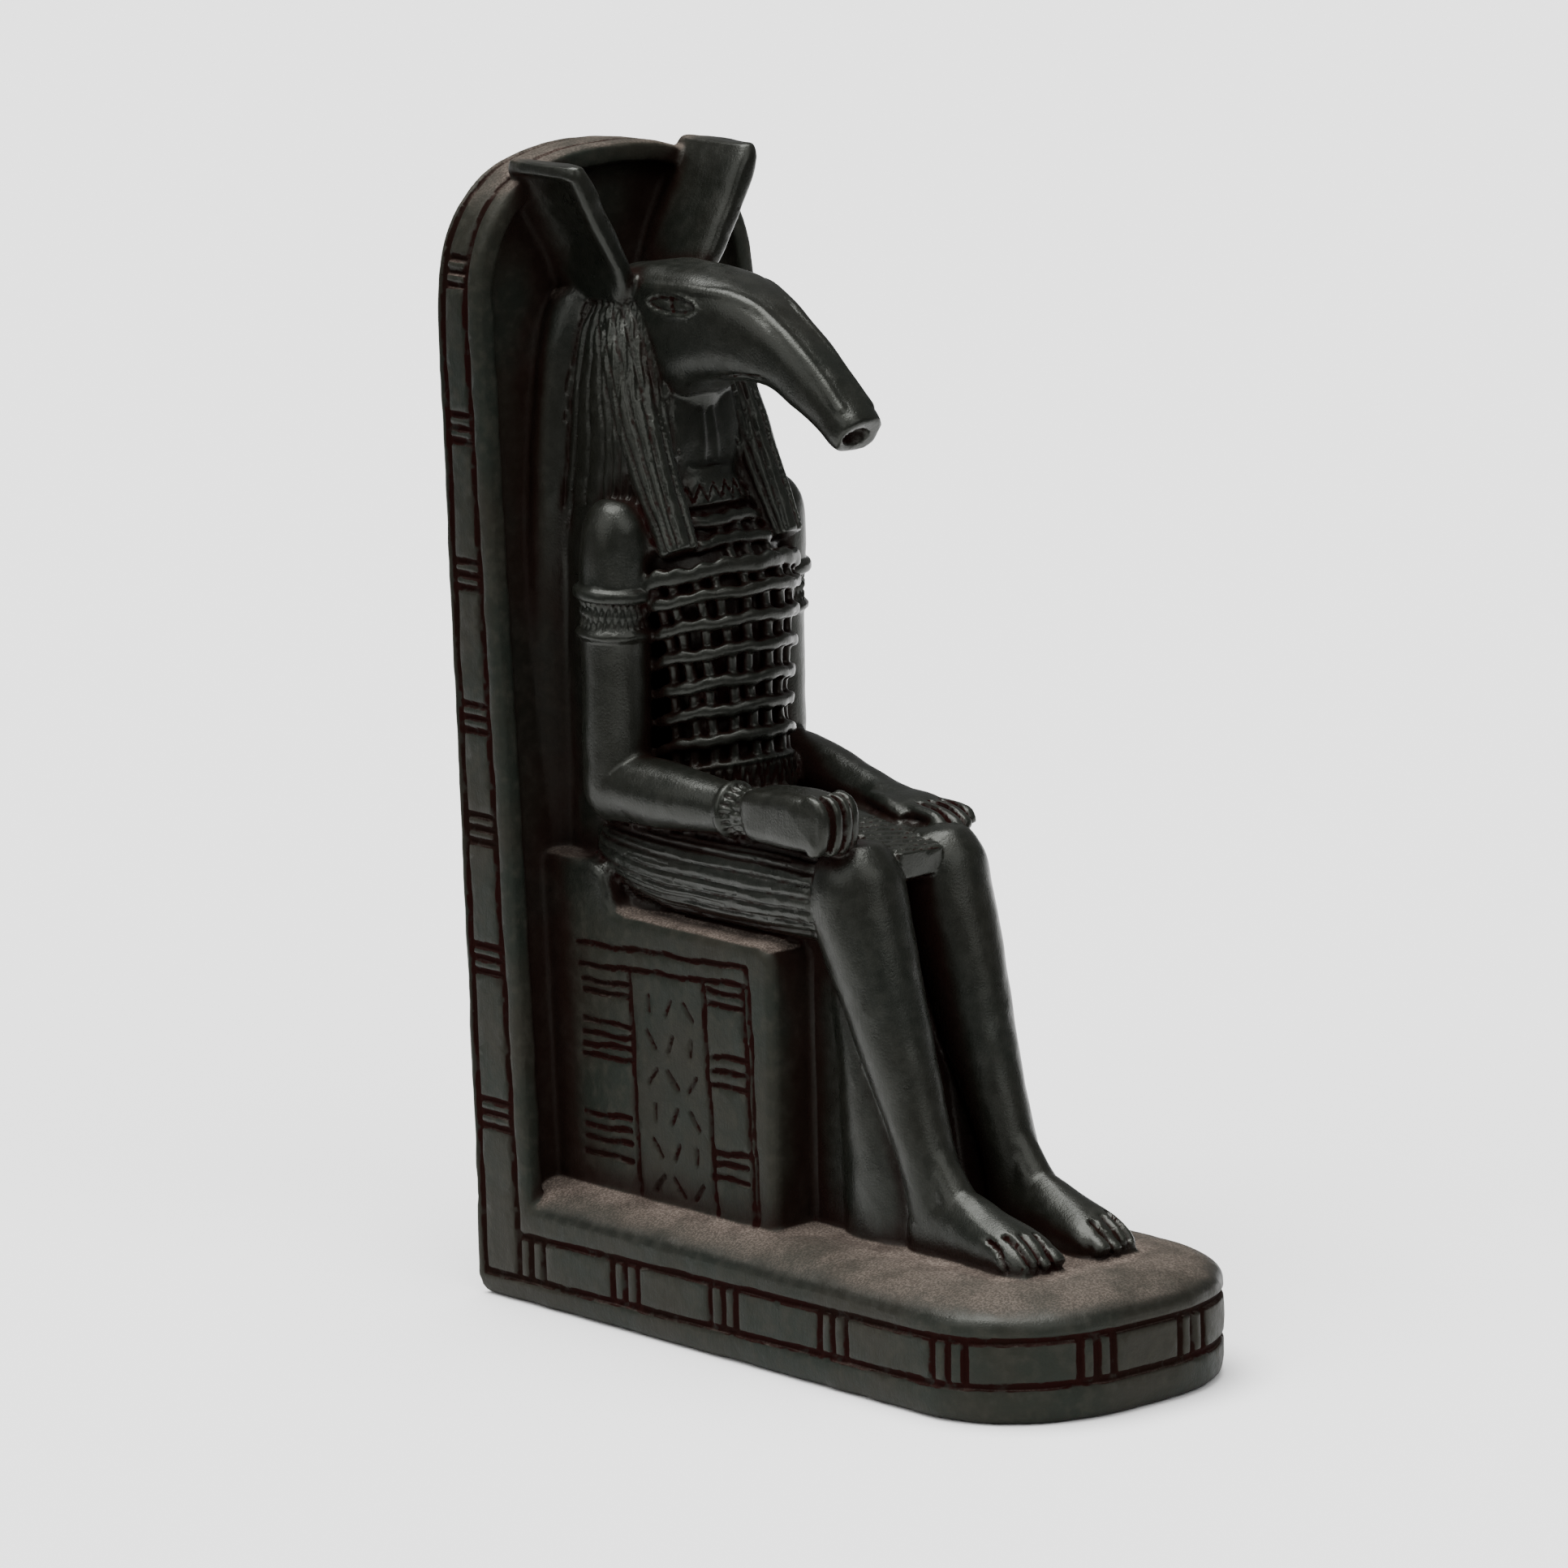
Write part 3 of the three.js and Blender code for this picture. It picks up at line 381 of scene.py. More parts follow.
INSTEP = [
    [9.2, -78.6, 42.4, 2.8, 2.2],
    [9.1, -82, 36.4, 3.2, 3],
    [9, -86.2, 30.8, 3.6, 3.2],
    [8.9, -91.4, 27, 3.9, 2.8],
    [8.8, -96.4, 24.6, 4, 2.4],
]
FOOT = [
    [9.1, -76.6, 22.4, 2.8, 3, 2],
    [9, -80, 23.6, 4.7, 6.6, 2],
    [9, -83.6, 24.6, 4.8, 8.8, 2],
    [8.9, -88.5, 25.2, 4.9, 7.6, 2],
    [8.8, -94.5, 24.6, 5.3, 5.8, 2.1],
    [8.6, -100, 23.9, 5.8, 4.6, 2.3],
    [8.3, -104, 22.8, 5.7, 3.4, 2.6],
    [7.9, -106.2, 22.2, 4.8, 1.9, 2.8],
]

# The edge from the ear along the brow and the snout
BROW = [
    (8.3, -9, 177.7), (8, -20.5, 178.6), (5.6, -28, 178), (3.9, -34.4, 176.2), (3.5, -39, 173.2),
    (3.5, -43.7, 170), (3.5, -49, 166), (3.6, -54, 161.3),
]

# The mouth on one side, from back to front
MOUTH = [(6.88, -25, 161.8), (6.278, -30, 164), (5.504, -36, 164.6)]

# Toes: x of the tip, y of the tip and half width, from the big toe outward
TOES = [
    (5.2, -107.2, 1.75), (8, -107.4, 1.25), (10.2, -106.8, 1.1), (12.1, -105.6, 1), (13.7, -103.8, 0.95),
]

# Fingers: x at the knuckle, y of the tip and half width, from the first finger outward
FINGERS = [(10.6, -63, 1.3), (13.1, -64.6, 1.35), (15.6, -64, 1.3), (17.9, -61.8, 1.15)]

# Folded fingers: x and y of the front, from the first finger outward
FOLDED_FINGERS = [(12.7, -66.2), (14.9, -67.2), (17.1, -67.4), (19.3, -66.4)]


# Sections and lofts

def row_at(rows, t):
    """The cross-sections at the values t, from 0 at the first row to 1 at the last."""
    rows = np.asarray(rows, float)
    last = len(rows) - 1
    place = np.clip(np.atleast_1d(t), 0, 1) * last
    i = np.minimum(place.astype(int), last - 1)
    f = (place - i)[:, None]
    a, b = rows[np.maximum(i - 1, 0)], rows[i]
    c, d = rows[i + 1], rows[np.minimum(i + 2, last)]
    slope_b, slope_c = (c - a) / 2, (d - b) / 2
    cubic = 2 * b - 2 * c + slope_b + slope_c
    square = -3 * b + 3 * c - 2 * slope_b - slope_c
    return ((cubic * f + square) * f + slope_b) * f + b


def where(rows, column, value):
    """The t at which one column, such as a height, has a given value."""
    t = np.linspace(0, 1, 400)
    found = row_at(rows, t)[:, column]
    order = np.argsort(found)
    return np.interp(value, found[order], t[order])


def unit(vectors):
    return vectors / np.linalg.norm(vectors, axis=1)[:, None]


def signed_power(value, power):
    return np.sign(value) * np.abs(value) ** power


def on_limb(rows, t, angle, lift=0.0, mirror=1):
    """Points on a limb's skin. The angle is 0 at the outer side; a quarter turn on is the front of a limb
    that runs up, the back of one that runs down and the underside of one that runs forward."""
    t, angle = np.broadcast_arrays(np.atleast_1d(t).astype(float), angle)
    row = row_at(rows, t)
    flip = np.array([mirror, 1, 1])
    before, after = row_at(rows, np.maximum(t - 0.01, 0)), row_at(rows, np.minimum(t + 0.01, 1))
    run = unit((after - before)[:, :3] * flip)
    wide = unit(np.array([mirror, 0, 0]) - run * (run[:, :1] * mirror))
    deep = np.cross(run, wide) * -mirror
    power = 2 / row[:, 5] if row.shape[1] > 5 else 1
    u = signed_power(np.cos(angle), power) * (row[:, 3] + lift)
    v = signed_power(np.sin(angle), power) * (row[:, 4] + lift)
    return row[:, :3] * flip + wide * u[:, None] + deep * v[:, None]


def loft(rows, mirror=1, rings=60, sides=40, lift=lambda t, angle: 0.0):
    """A closed mesh through the rows: its vertices and its faces. lift(t, angle) moves the skin out."""
    t = np.repeat(np.linspace(0, 1, rings), sides)
    angle = np.tile(np.arange(sides) * 2 * math.pi / sides, rings)
    return tube(on_limb(rows, t, angle, lift(t, angle), mirror).reshape(rings, sides, 3))


def strap(centres, out, up, half_out, half_up, power=3.0):
    """A closed bar along a line, with its section's two directions given at each point."""
    angle = np.arange(12) * 2 * math.pi / 12
    u = signed_power(np.cos(angle), 2 / power)[None, :, None]
    v = signed_power(np.sin(angle), 2 / power)[None, :, None]
    half_out, half_up = np.reshape(half_out, (-1, 1, 1)), np.reshape(half_up, (-1, 1, 1))
    return tube(centres[:, None] + out[:, None] * u * half_out + up[:, None] * v * half_up)


def digit(path, radius, flat=1.0):
    """A finger or toe along a path of points, round at its end."""
    centres = row_at(np.asarray(path, float), np.linspace(0, 1, 14))
    run = unit(np.gradient(centres, axis=0))
    wide = unit(np.array([1.0, 0, 0]) - run * run[:, :1])
    tip = np.sqrt(np.clip(1 - np.linspace(-6.5, 1, 14).clip(0) ** 2, 0.04, 1))
    return strap(centres, wide, np.cross(run, wide), radius * tip, radius * flat * tip, power=2.2)


def tube(rings):
    """Closed rings of points, joined and capped."""
    count, sides = rings.shape[:2]
    faces = []
    for r in range(count - 1):
        for s in range(sides):
            n = (s + 1) % sides
            faces.append((r * sides + s, r * sides + n, (r + 1) * sides + n, (r + 1) * sides + s))
    faces.append(tuple(range(sides))[::-1])
    faces.append(tuple((count - 1) * sides + s for s in range(sides)))
    return rings.reshape(-1, 3), faces


def inset_outline(points, inset):
    """A closed outline moved inward, where its points run anticlockwise."""
    run = unit(np.roll(points, -1, axis=0) - np.roll(points, 1, axis=0))
    return points + np.stack([-run[:, 1], run[:, 0]], 1) * inset


def refine(points):
    """A closed polyline with points no further apart than 1 mm."""
    result = []
    for a, b in zip(points, np.roll(points, -1, axis=0)):
        count = max(1, int(np.ceil(np.linalg.norm(b - a))))
        result.append(a + (b - a) * (np.arange(count) / count)[:, None])
    return np.concatenate(result)


def across_x(outline, half, edge):
    """A side view outline of y and z, given anticlockwise, made solid to half on each side."""
    outline = refine(np.asarray(outline, float))
    rings = []
    for x, inset in [(-1, 1.0), (-1 + 0.3 * edge / half, 0.3), (-1 + edge / half, 0.0)]:
        rings.append((x * half, inset * edge))
    rings += [(-x, inset) for x, inset in reversed(rings)]
    return tube(np.array([
        np.column_stack([np.full(len(outline), x), inset_outline(outline, inset)]) for x, inset in rings
    ]))


def curve_through(points, steps=12):
    """A smooth open line through the points."""
    points = np.asarray(points, float)
    if len(points) < 3:
        return points[0] + (points[1] - points[0]) * np.linspace(0, 1, steps)[:, None]
    return row_at(points, np.linspace(0, 1, steps * (len(points) - 1)))


# Slab

def slab_back(z):
    return SLAB_THICK_FOOT + SLAB_BACK_LEAN * z


def slab_front(z):
    return slab_back(z) - (SLAB_THICK_FOOT + (SLAB_THICK_TOP - SLAB_THICK_FOOT) * z / HEIGHT)


# How far the statue moves along y, so that the middle of its box lands on the frame's origin
FRAME_SHIFT = (BASE_LENGTH - SLAB_THICK_FOOT - slab_back(HEIGHT)) / 2


def slab_half(z):
    return SLAB_HALF_FOOT + (SLAB_HALF_SHOULDER - SLAB_HALF_FOOT) * z / HEIGHT


def slab_outline(inset, foot):
    """x and z along the slab's outline from the right foot over the arch to the left foot."""
    spring = HEIGHT - ARCH_RISE
    side = np.linspace(foot, spring, 40)[:-1]
    angle = np.linspace(math.pi, 0, 80)
    power = 2 / ARCH_POWER
    arch_x = (slab_half(spring) - inset) * signed_power(np.cos(angle), power)
    arch_z = spring + (ARCH_RISE - inset) * np.abs(np.sin(angle)) ** power
    x = np.concatenate([inset - slab_half(side), arch_x, (slab_half(side) - inset)[::-1]])
    z = np.concatenate([side, arch_z, side[::-1]])
    return x, z


def slab_ring(inset, foot, face, off):
    """The slab's outline on its back or its front, or a little off it."""
    x, z = slab_outline(inset, foot)
    return np.column_stack([x, face(z) + off, z])


def slab():
    """Rings over the back, the edge, the rim and the hollow."""
    rings = [
        slab_ring(inset, SLAB_START, slab_back, off)
        for inset, off in [(2.2, 0), (0.9, -0.15), (0.3, -0.5), (0, -1.3)]
    ]
    for inset, off in [(0, 1.5), (0.3, 0.5), (0.9, 0.1), (2.2, 0)]:
        rings.append(slab_ring(inset, SLAB_START, slab_front, off))
    for share, deep in [(0, 0), (0.1, 0.35), (0.4, 0.75), (0.75, 0.95), (1.1, 1)]:
        cove = HOLLOW_COVE * share
        rings.append(slab_ring(RIM + cove, BASE_SIDE + cove, slab_front, HOLLOW * deep))
    return tube(np.array(rings))


# Base

def plan_point(turn, inset):
    """x and y on the base's plan. turn runs from 0 to 1 round the front."""
    turn = np.atleast_1d(turn).astype(float)
    half = SLAB_HALF_FOOT - inset
    back = SLAB_THICK_FOOT - inset
    front = SLAB_THICK_FOOT - BASE_LENGTH + inset
    radius_x, radius_y = CORNER_X - inset, CORNER_Y - inset
    away = np.abs(turn * 2 - 1)
    side = np.where(turn < 0.5, -1, 1)
    along = np.clip((away - CORNER_END) / SIDE_SHARE, 0, 1)
    angle = np.clip((away - FRONT_SHARE) / CORNER_SHARE, 0, 1) * math.pi / 2
    x = half - radius_x + radius_x * np.sin(angle)
    y = front + radius_y - radius_y * np.cos(angle)
    on_front, on_side = away < FRONT_SHARE, away > CORNER_END
    x = np.where(on_side, half, np.where(on_front, away * (half - radius_x) / FRONT_SHARE, x))
    side_y = front + radius_y + (back - front - radius_y) * along
    y = np.where(on_side, side_y, np.where(on_front, front, y))
    return side * x, y


def base():
    """Rings from the underside up: the height and the inset of each."""
    levels = [
        (0, 2.0), (0.5, 1.0), (1.4, 0.4), (3.2, 0), (BASE_SIDE - 1.6, 0), (BASE_SIDE - 0.5, 0.3),
        (BASE_SIDE + 0.5, 1.2), (BASE_SIDE + 1.5, 2.9), (BASE_TOP - 1.2, 5), (BASE_TOP - 0.4, 8.4),
        (BASE_TOP, 13),
    ]
    turn = np.linspace(0, 1, 240)
    return tube(np.array([
        np.column_stack([*plan_point(turn, inset), np.full(240, z)]) for z, inset in levels
    ]))


def base_groove_height(foot, y):
    return foot + BAND_CLIMB * (SLAB_THICK_FOOT - y) / BASE_LENGTH


# Throne and what stands between the legs

def throne():
    back = 12
    return across_x([
        (back, BASE_SIDE), (back, POST_TOP), (POST_FRONT + 5, POST_TOP), (POST_FRONT + 2.4, POST_TOP - 0.6),
        (POST_FRONT + 0.6, POST_TOP - 2), (POST_FRONT, POST_TOP - 4), (POST_FRONT - 0.6, POST_TOP - 6),
        (POST_FRONT - 2, SEAT_TOP + 0.6), (POST_FRONT - 5, SEAT_TOP), (SEAT_FRONT + 3, SEAT_TOP),
        (SEAT_FRONT + 0.9, SEAT_TOP - 0.9), (SEAT_FRONT, SEAT_TOP - 3), (SEAT_FRONT, BASE_SIDE),
    ], SEAT_HALF, 1.6)


def leg_web():
    return across_x([
        (SEAT_FRONT + 4, BASE_SIDE), (SEAT_FRONT + 4, 75), (-54, 75), (-59.5, 72.4), (-62.6, 68), (-64.5, 62),
        (-68.4, 46.5), (-72.2, 31), (-77, BASE_SIDE),
    ], 11.6, 1.6)


def lap():
    return across_x([(-8, 72), (-8, 91), (-30, 88.6), (-57, 85.2), (-59, 74)], 9.4, 1)


def apron():
    return across_x([(-24, 84), (-24, 92.4), (-50, 90), (-69, 87), (-68.6, 82.4), (-60, 80)], 4.9, 0.4)


def chest_points(height, away, lift=0.0):
    """Points on the chest's skin: away is the angle from straight ahead."""
    height, away = np.broadcast_arrays(np.atleast_1d(height).astype(float), away)
    z = height - NET_DROOP * np.minimum(np.abs(away) / (math.pi / 2), 1.1) ** 2
    row = row_at(TORSO, where(TORSO, COLUMN_Z, z))
    x = np.sin(away) * (row[:, 3] + lift)
    y = row[:, 1] - np.cos(away) * (row[:, 4] + lift)
    return np.column_stack([x, y, z])


def chest():
    """The chest, sunk where the net stands over it."""
    foot, top = 72, 147
    levels = [
        (foot, 0), (BELT_FOOT - 0.6, 0), (BELT_FOOT, 0.7), (BELT_TOP, 0.7), (BELT_TOP + 0.5, -NET_SINK),
        (NET_BANDS[NET_THICK_BAND], -NET_SINK), (NET_BANDS[1], -1.3), (COLLAR_FOOT - 0.9, -1.0),
        (COLLAR_FOOT - 0.4, 0.5), (COLLAR_TOP, 0.5), (COLLAR_TOP + 0.5, 0), (top, 0),
    ]
    heights = np.concatenate([np.linspace(foot, top, 76), [z for z, _ in levels]])
    heights.sort()
    lifts = np.interp(heights, [z for z, _ in levels], [lift for _, lift in levels])
    away = np.linspace(-math.pi, math.pi, 72, endpoint=False)
    return tube(np.array([chest_points(z, away, lift) for z, lift in zip(heights, lifts)]))


def band_reach(i):
    """How far round the chest a band goes: the first two end at the lappets."""
    return 0.62 if i < NET_THICK_BAND else 1.75


def band_height(i, away):
    wave = 0.2 * np.sin(away * 7 + 2.1 * i) + 0.12 * np.sin(away * 21 + 1.3 * i)
    return NET_BANDS[i] + wave


def net():
    """Bands round the chest with bars between them."""
    for i in range(len(NET_BANDS)):
        thick = i == NET_THICK_BAND
        away = np.linspace(-band_reach(i), band_reach(i), 90)
        swell = 0.5 + 0.5 * np.sin(away * 2 * math.pi / NET_STEP + i)
        centres = chest_points(band_height(i, away), away, 0.35 if thick else 0.0)
        out = np.column_stack([np.sin(away), -np.cos(away), 0 * away])
        half_up = (1.3 if thick else 0.98) + (0.4 if thick else 0.2) * swell
        yield strap(centres, out, np.array([[0, 0, 1.0]]), 1.15 + 0.1 * swell, half_up)
    for i in range(len(NET_BANDS)):
        foot = [*NET_BANDS, BELT_TOP][i + 1]
        count = int(band_reach(i) / NET_STEP)
        for k in range(-count, count + 1):
            away = np.full(5, (k + 0.5) * NET_STEP) + 0.035 * math.sin(5.3 * i + 2.7 * k)
            away += np.linspace(-1, 1, 5) * 0.02 * math.sin(3.1 * i + 4.9 * k)
            centres = chest_points(np.linspace(NET_BANDS[i], foot, 5), away, -1.05)
            out = np.column_stack([np.sin(away), -np.cos(away), 0 * away])
            side = np.column_stack([np.cos(away), np.sin(away), 0 * away])
            yield strap(centres, out, side, 1.05, 0.95, power=2.4)


def ring_on(rows, place, mirror, lift, half_along, half_out):
    """A ridge round a limb at one place along it."""
    angle = np.linspace(0, 2 * math.pi, 61)
    centres = on_limb(rows, place, angle, lift, mirror)
    out = unit(on_limb(rows, place, angle, lift + 1, mirror) - centres)
    run = unit(np.cross(np.gradient(centres, axis=0), out))
    return strap(centres, out, run, half_out, half_along)


def armlets():
    for mirror in SIDES:
        for height, half, out in [(ARMLET_TOP - 1.1, 1.1, 1.0), (ARMLET_FOOT + 0.7, 0.7, 0.7)]:
            place = where(UPPER_ARM, COLUMN_Z, height)
            yield ring_on(UPPER_ARM, place, mirror, 0.1, half, out)
    for y, half in [(BRACELET_BACK, 0.8), (BRACELET_FRONT, 0.8)]:
        yield ring_on(FOREARM, where(FOREARM, COLUMN_Y, y), RIGHT, 0.1, half, 0.6)


def folded_hand():
    """The closed right hand: a block with four folded fingers and the thumb."""
    yield from (loft(FIST, RIGHT), loft(FOLDED_THUMB, RIGHT))
    for x, y in FOLDED_FINGERS:
        bends = [(4.4, 97.0), (1.6, 96.2), (0.9, 92.8), (1.8, 89.4), (4.6, 88.6)]
        yield digit([(-x, y + behind, z) for behind, z in bends], 1.28, 1.1)


def open_hand():
    """The left hand lies flat with its fingers forward."""
    yield from (loft(PALM), loft(THUMB))
    for x, y, half in FINGERS:
        path = [(x, -52, 90.0), (x, -57, 89.9), (x - 0.1, -60.5, 89.3), (x - 0.4, y + 0.3, 87.6)]
        yield digit(path, half)


def toes(mirror):
    for x, y, half in TOES:
        inward = mirror * (x - 0.08 * (x - 8.8))
        tip = mirror * x
        path = [(inward, -98, 25.4), (inward, -101.5, 25.0), (tip, y + 1.8, 23.6), (tip, y, 22.3)]
        yield digit(path, half)


def ear_lift(t, angle):
    """The ear's outer side is hollow, below a lip at its top."""
    aside = np.angle(np.exp(1j * angle))
    deep = np.exp(-(aside / EAR_HOLLOW_SPREAD) ** 2) * EAR_HOLLOW_DEPTH
    return -deep * np.clip((t - 0.1) / 0.2, 0, 1) * np.clip((0.86 - t) / 0.05, 0, 1)


def ear(mirror):
    """An ear, cut level at its top."""
    points, faces = loft(EAR, mirror, rings=80, sides=64, lift=ear_lift)
    points[:, 2] = np.minimum(points[:, 2], EAR_TOP)
    return points, faces


def kilt_lift(t, angle):
    """The kilt stands off the thigh as far as its hem."""
    return np.where(t < where(THIGH, COLUMN_Y, KILT_HEM), 0.45, -0.15)


def soft_forms():
    """The forms that run softly into each other."""
    yield from (slab(), base(), throne(), leg_web(), lap(), chest())
    for rows in (NECK, HEAD, WIG, WIG_SLOPE, LEFT_FOREARM):
        yield loft(rows)
    yield loft(FOREARM, RIGHT)
    for mirror in SIDES:
        for rows in (LAPPET, SHOULDER, UPPER_ARM, SHIN, INSTEP, FOOT, CALF_FILL):
            yield loft(rows, mirror)
        yield ear(mirror)
        yield loft(THIGH, mirror, rings=160, lift=kilt_lift)


def crisp_forms():
    """The forms that keep their edges."""
    yield apron()
    for group in (net, armlets, folded_hand, open_hand):
        yield from group()
    for mirror in SIDES:
        yield from toes(mirror)


# Strokes: lines on the skin along which it is cut in or raised

def slab_strokes():
    yield slab_ring(0, BAND_LOW, slab_back, -BAND_BACK), "band"
    yield slab_ring(0, BAND_HIGH, slab_front, BAND_FRONT), "band"
    spring = HEIGHT - ARCH_RISE
    for side in SIDES:
        for height in SLAB_BLOCK_HEIGHTS:
            for step in (-1, 0, 1):
                z = height + step * SLAB_BLOCK_PITCH
                above = max(0, (z - spring) / ARCH_RISE)
                x = side * (slab_half(z) * (1 - above ** ARCH_POWER) ** (1 / ARCH_POWER))
                yield [(x, slab_front(z) + BAND_FRONT, z), (x, slab_back(z) - BAND_BACK, z)], "slab block"


def base_strokes():
    for foot, start in [(BAND_LOW, BAND_BACK), (BAND_HIGH, SLAB_THICK_FOOT - BAND_FRONT)]:
        skip = SIDE_SHARE / 2 * start / (BASE_LENGTH - CORNER_Y)
        x, y = plan_point(np.linspace(skip, 1 - skip, 120), 0)
        yield np.column_stack([x, y, base_groove_height(foot, y)]), "band"
    for turn in BASE_BLOCKS + [1 - t for t in BASE_BLOCKS]:
        near = np.column_stack(plan_point([turn - 0.001, turn, turn + 0.001], 0))
        run = near[2] - near[0]
        run /= np.linalg.norm(run)
        for step in (-1, 0, 1):
            x, y = near[1] + run * step * BASE_BLOCK_PITCH
            low, high = base_groove_height(BAND_LOW, y), base_groove_height(BAND_HIGH, y)
            yield [[x, y, low], [x, y, high]], "band"


def throne_strokes():
    """The ruled panel on the throne's sides, with rows of short strokes down its middle."""
    foot = BASE_TOP - 1
    lines = [
        ((-2, 64.0), (-46.8, 66.2)), ((-2, 60.2), (-46.7, 63.1)), ((-46.8, 66.2), (-48.6, foot)),
        ((-15.6, 60.8), (-17.4, foot)), ((-34.8, 62.4), (-37.9, foot)), ((-45.4, 63.0), (-47.6, foot)),
    ]
    lines += [((-3, z), (-15.4, z + 0.6)) for z in (57.6, 55.6, 50.4, 48.3, 46.3, 44.4, 34, 31.8, 29.6, 26.8)]
    lines += [((-37.0, z), (-46.0, z + 0.5)) for z in (49.4, 46.8, 44.4, 32.7, 30.6, 28.2)]
    lines += [((-36.0, z), (-45.4, z + 0.3)) for z in (60.6, 58.4)]
    for x in (-SEAT_HALF, SEAT_HALF):
        for first, last in lines:
            yield wobble(curve_through([(x, *first), (x, *last)], 16), 0.3, 7), "panel"
        for row in range(6):
            for column in range(3):
                y = -20.5 - 5.2 * column - 0.45 * row
                z = 56 - 6.3 * row
                lean = 1.3 * math.sin(2.1 * row + 3.7 * column)
                yield [(x, y + lean, z + 1.4), (x, y - lean, z - 1.4)], "sign"


def wobble(points, amount=0.15, pitch=5.0):
    """A hand-cut line: it strays a little from the drawn one."""
    points = np.asarray(points, float)
    length = np.concatenate([[0], np.cumsum(np.linalg.norm(np.diff(points, axis=0), axis=1))])
    seed = points.sum() % 7
    stray = np.column_stack([
        np.sin(length / pitch * 2 + seed + k) + np.sin(length / pitch * 4.7 + 2 * seed + 2 * k)
        for k in range(3)
    ])
    return points + amount * stray / 2


def line_on(rows, first, last, angle, mirror=1, steps=24, lift=0.0):
    """A line along a limb at one angle."""
    return on_limb(rows, np.linspace(first, last, steps), angle, lift, mirror)


def zigzag_on(rows, ends, column, angles, mirror):
    """A zigzag round a limb between two values of a column, such as two heights."""
    places = [where(rows, column, end) for end in ends]
    points = [on_limb(rows, places[k % 2], angle, 0.2, mirror)[0] for k, angle in enumerate(angles)]
    return [([a, b], "armlet") for a, b in zip(points[:-1], points[1:])]


def armlet_strokes():
    angles = np.linspace(-math.pi, math.pi, 31)
    for mirror in SIDES:
        for turned in (angles, angles + angles[1] - angles[0]):
            yield from zigzag_on(UPPER_ARM, ARMLET_ZIGZAG, COLUMN_Z, turned, mirror)
    angles = np.linspace(-math.pi, math.pi, 17)
    for ends in (BRACELET_ZIGZAG, BRACELET_ZIGZAG[::-1]):
        yield from zigzag_on(FOREARM, ends, COLUMN_Y, angles, RIGHT)


def collar_strokes():
    for foot, top, reach, count, lift, kind in [
        (COLLAR_FOOT + 0.3, COLLAR_TOP - 0.3, 0.95, 15, 0.5, "collar"),
        (BELT_FOOT + 0.4, BELT_TOP - 1.4, 1.6, 41, 0.7, "belt"),
    ]:
        away = np.linspace(-reach, reach, count)
        for k in range(count - 1):
            heights = (foot, top) if k % 2 else (top, foot)
            yield chest_points(heights, away[k:k + 2], lift), kind
    for k in np.linspace(-0.5, 0.5, 13):
        yield chest_points([BELT_TOP - 0.8, BELT_FOOT - 2.5], [k, k * 1.1], 0.7), "tassel"
    yield chest_points(BELT_TOP - 1.0, np.linspace(-1.6, 1.6, 30), 0.7), "belt line"


def pleat_strokes():
    hem = where(THIGH, COLUMN_Y, KILT_HEM + 0.4)
    for mirror in SIDES:
        for k, angle in enumerate(np.linspace(-1.1, 1.3, 10)):
            line = wobble(line_on(THIGH, 0.08 + 0.03 * math.sin(3 * k), hem, angle, mirror, 30, 0.4), 0.2, 19)
            yield line, "pleat"
        for k, angle in enumerate(np.linspace(-0.97, 1.17, 9)):
            first = 0.15 + 0.2 * (0.5 + 0.5 * math.sin(2.3 * k))
            last = min(hem, first + 0.35 + 0.2 * math.sin(1.7 * k))
            line = wobble(line_on(THIGH, first, last, angle, mirror, 20, 0.4), 0.15, 15)
            yield line, "short pleat"
        yield on_limb(THIGH, hem + 0.004, np.linspace(-2.6, 2.6, 40), 0.1, mirror), "hem"
    for k in range(9):
        y = -51.5 - 2.1 * k
        z = 89.9 - 0.158 * (-50 - y)
        yield [(-4.6, y + 1.1, z), (4.6, y - 1.1, z)], "apron"


def hair_strokes():
    for mirror in SIDES:
        for angle in np.linspace(-2.9, 0.45, 7):
            line = wobble(line_on(LAPPET, 0.04, 0.995, angle, mirror, 40), 0.1)
            yield line, "lappet"
        for k, angle in enumerate(np.linspace(-1.25, 0.75, 17)):
            line = wobble(line_on(WIG, 0.04, 0.56 + 0.05 * math.sin(2.9 * k), angle, mirror, 40), 0.16)
            yield line, "wig"


def eye_line(side, grow):
    """The eye's almond outline, as points on the side of the head."""
    turn = np.linspace(0, 2 * math.pi, 40)
    y = EYE_Y + np.cos(turn) * (EYE_HALF_LENGTH + grow)
    z = EYE_Z + np.sin(turn) * np.abs(np.sin(turn)) ** 0.35 * (EYE_HALF_HEIGHT + grow)
    return np.column_stack([np.full(40, side * FACE_HALF), y, z])


def face_strokes():
    for side in SIDES:
        yield eye_line(side, 0.35), "eye rim"
        yield eye_line(side, -0.35), "eye line"
        yield [(side * FACE_HALF, -16.3, 176.3), (side * FACE_HALF, -16.7, 174.5)], "pupil"
        for row, kind in ((BROW, "brow"), (MOUTH, "mouth")):
            yield curve_through([(side * x, y, z) for x, y, z in row]), kind
    for x in (-1.6, 1.6):
        yield [(x, -15.4, 146.5), (x * 0.7, -14.4, 156)], "throat"


def slits(tips):
    """Between each tip and the next: x, the mean of their y and the larger y."""
    for (x0, y0, *_), (x1, y1, *_) in zip(tips[:-1], tips[1:]):
        yield (x0 + x1) / 2, (y0 + y1) / 2, max(y0, y1)


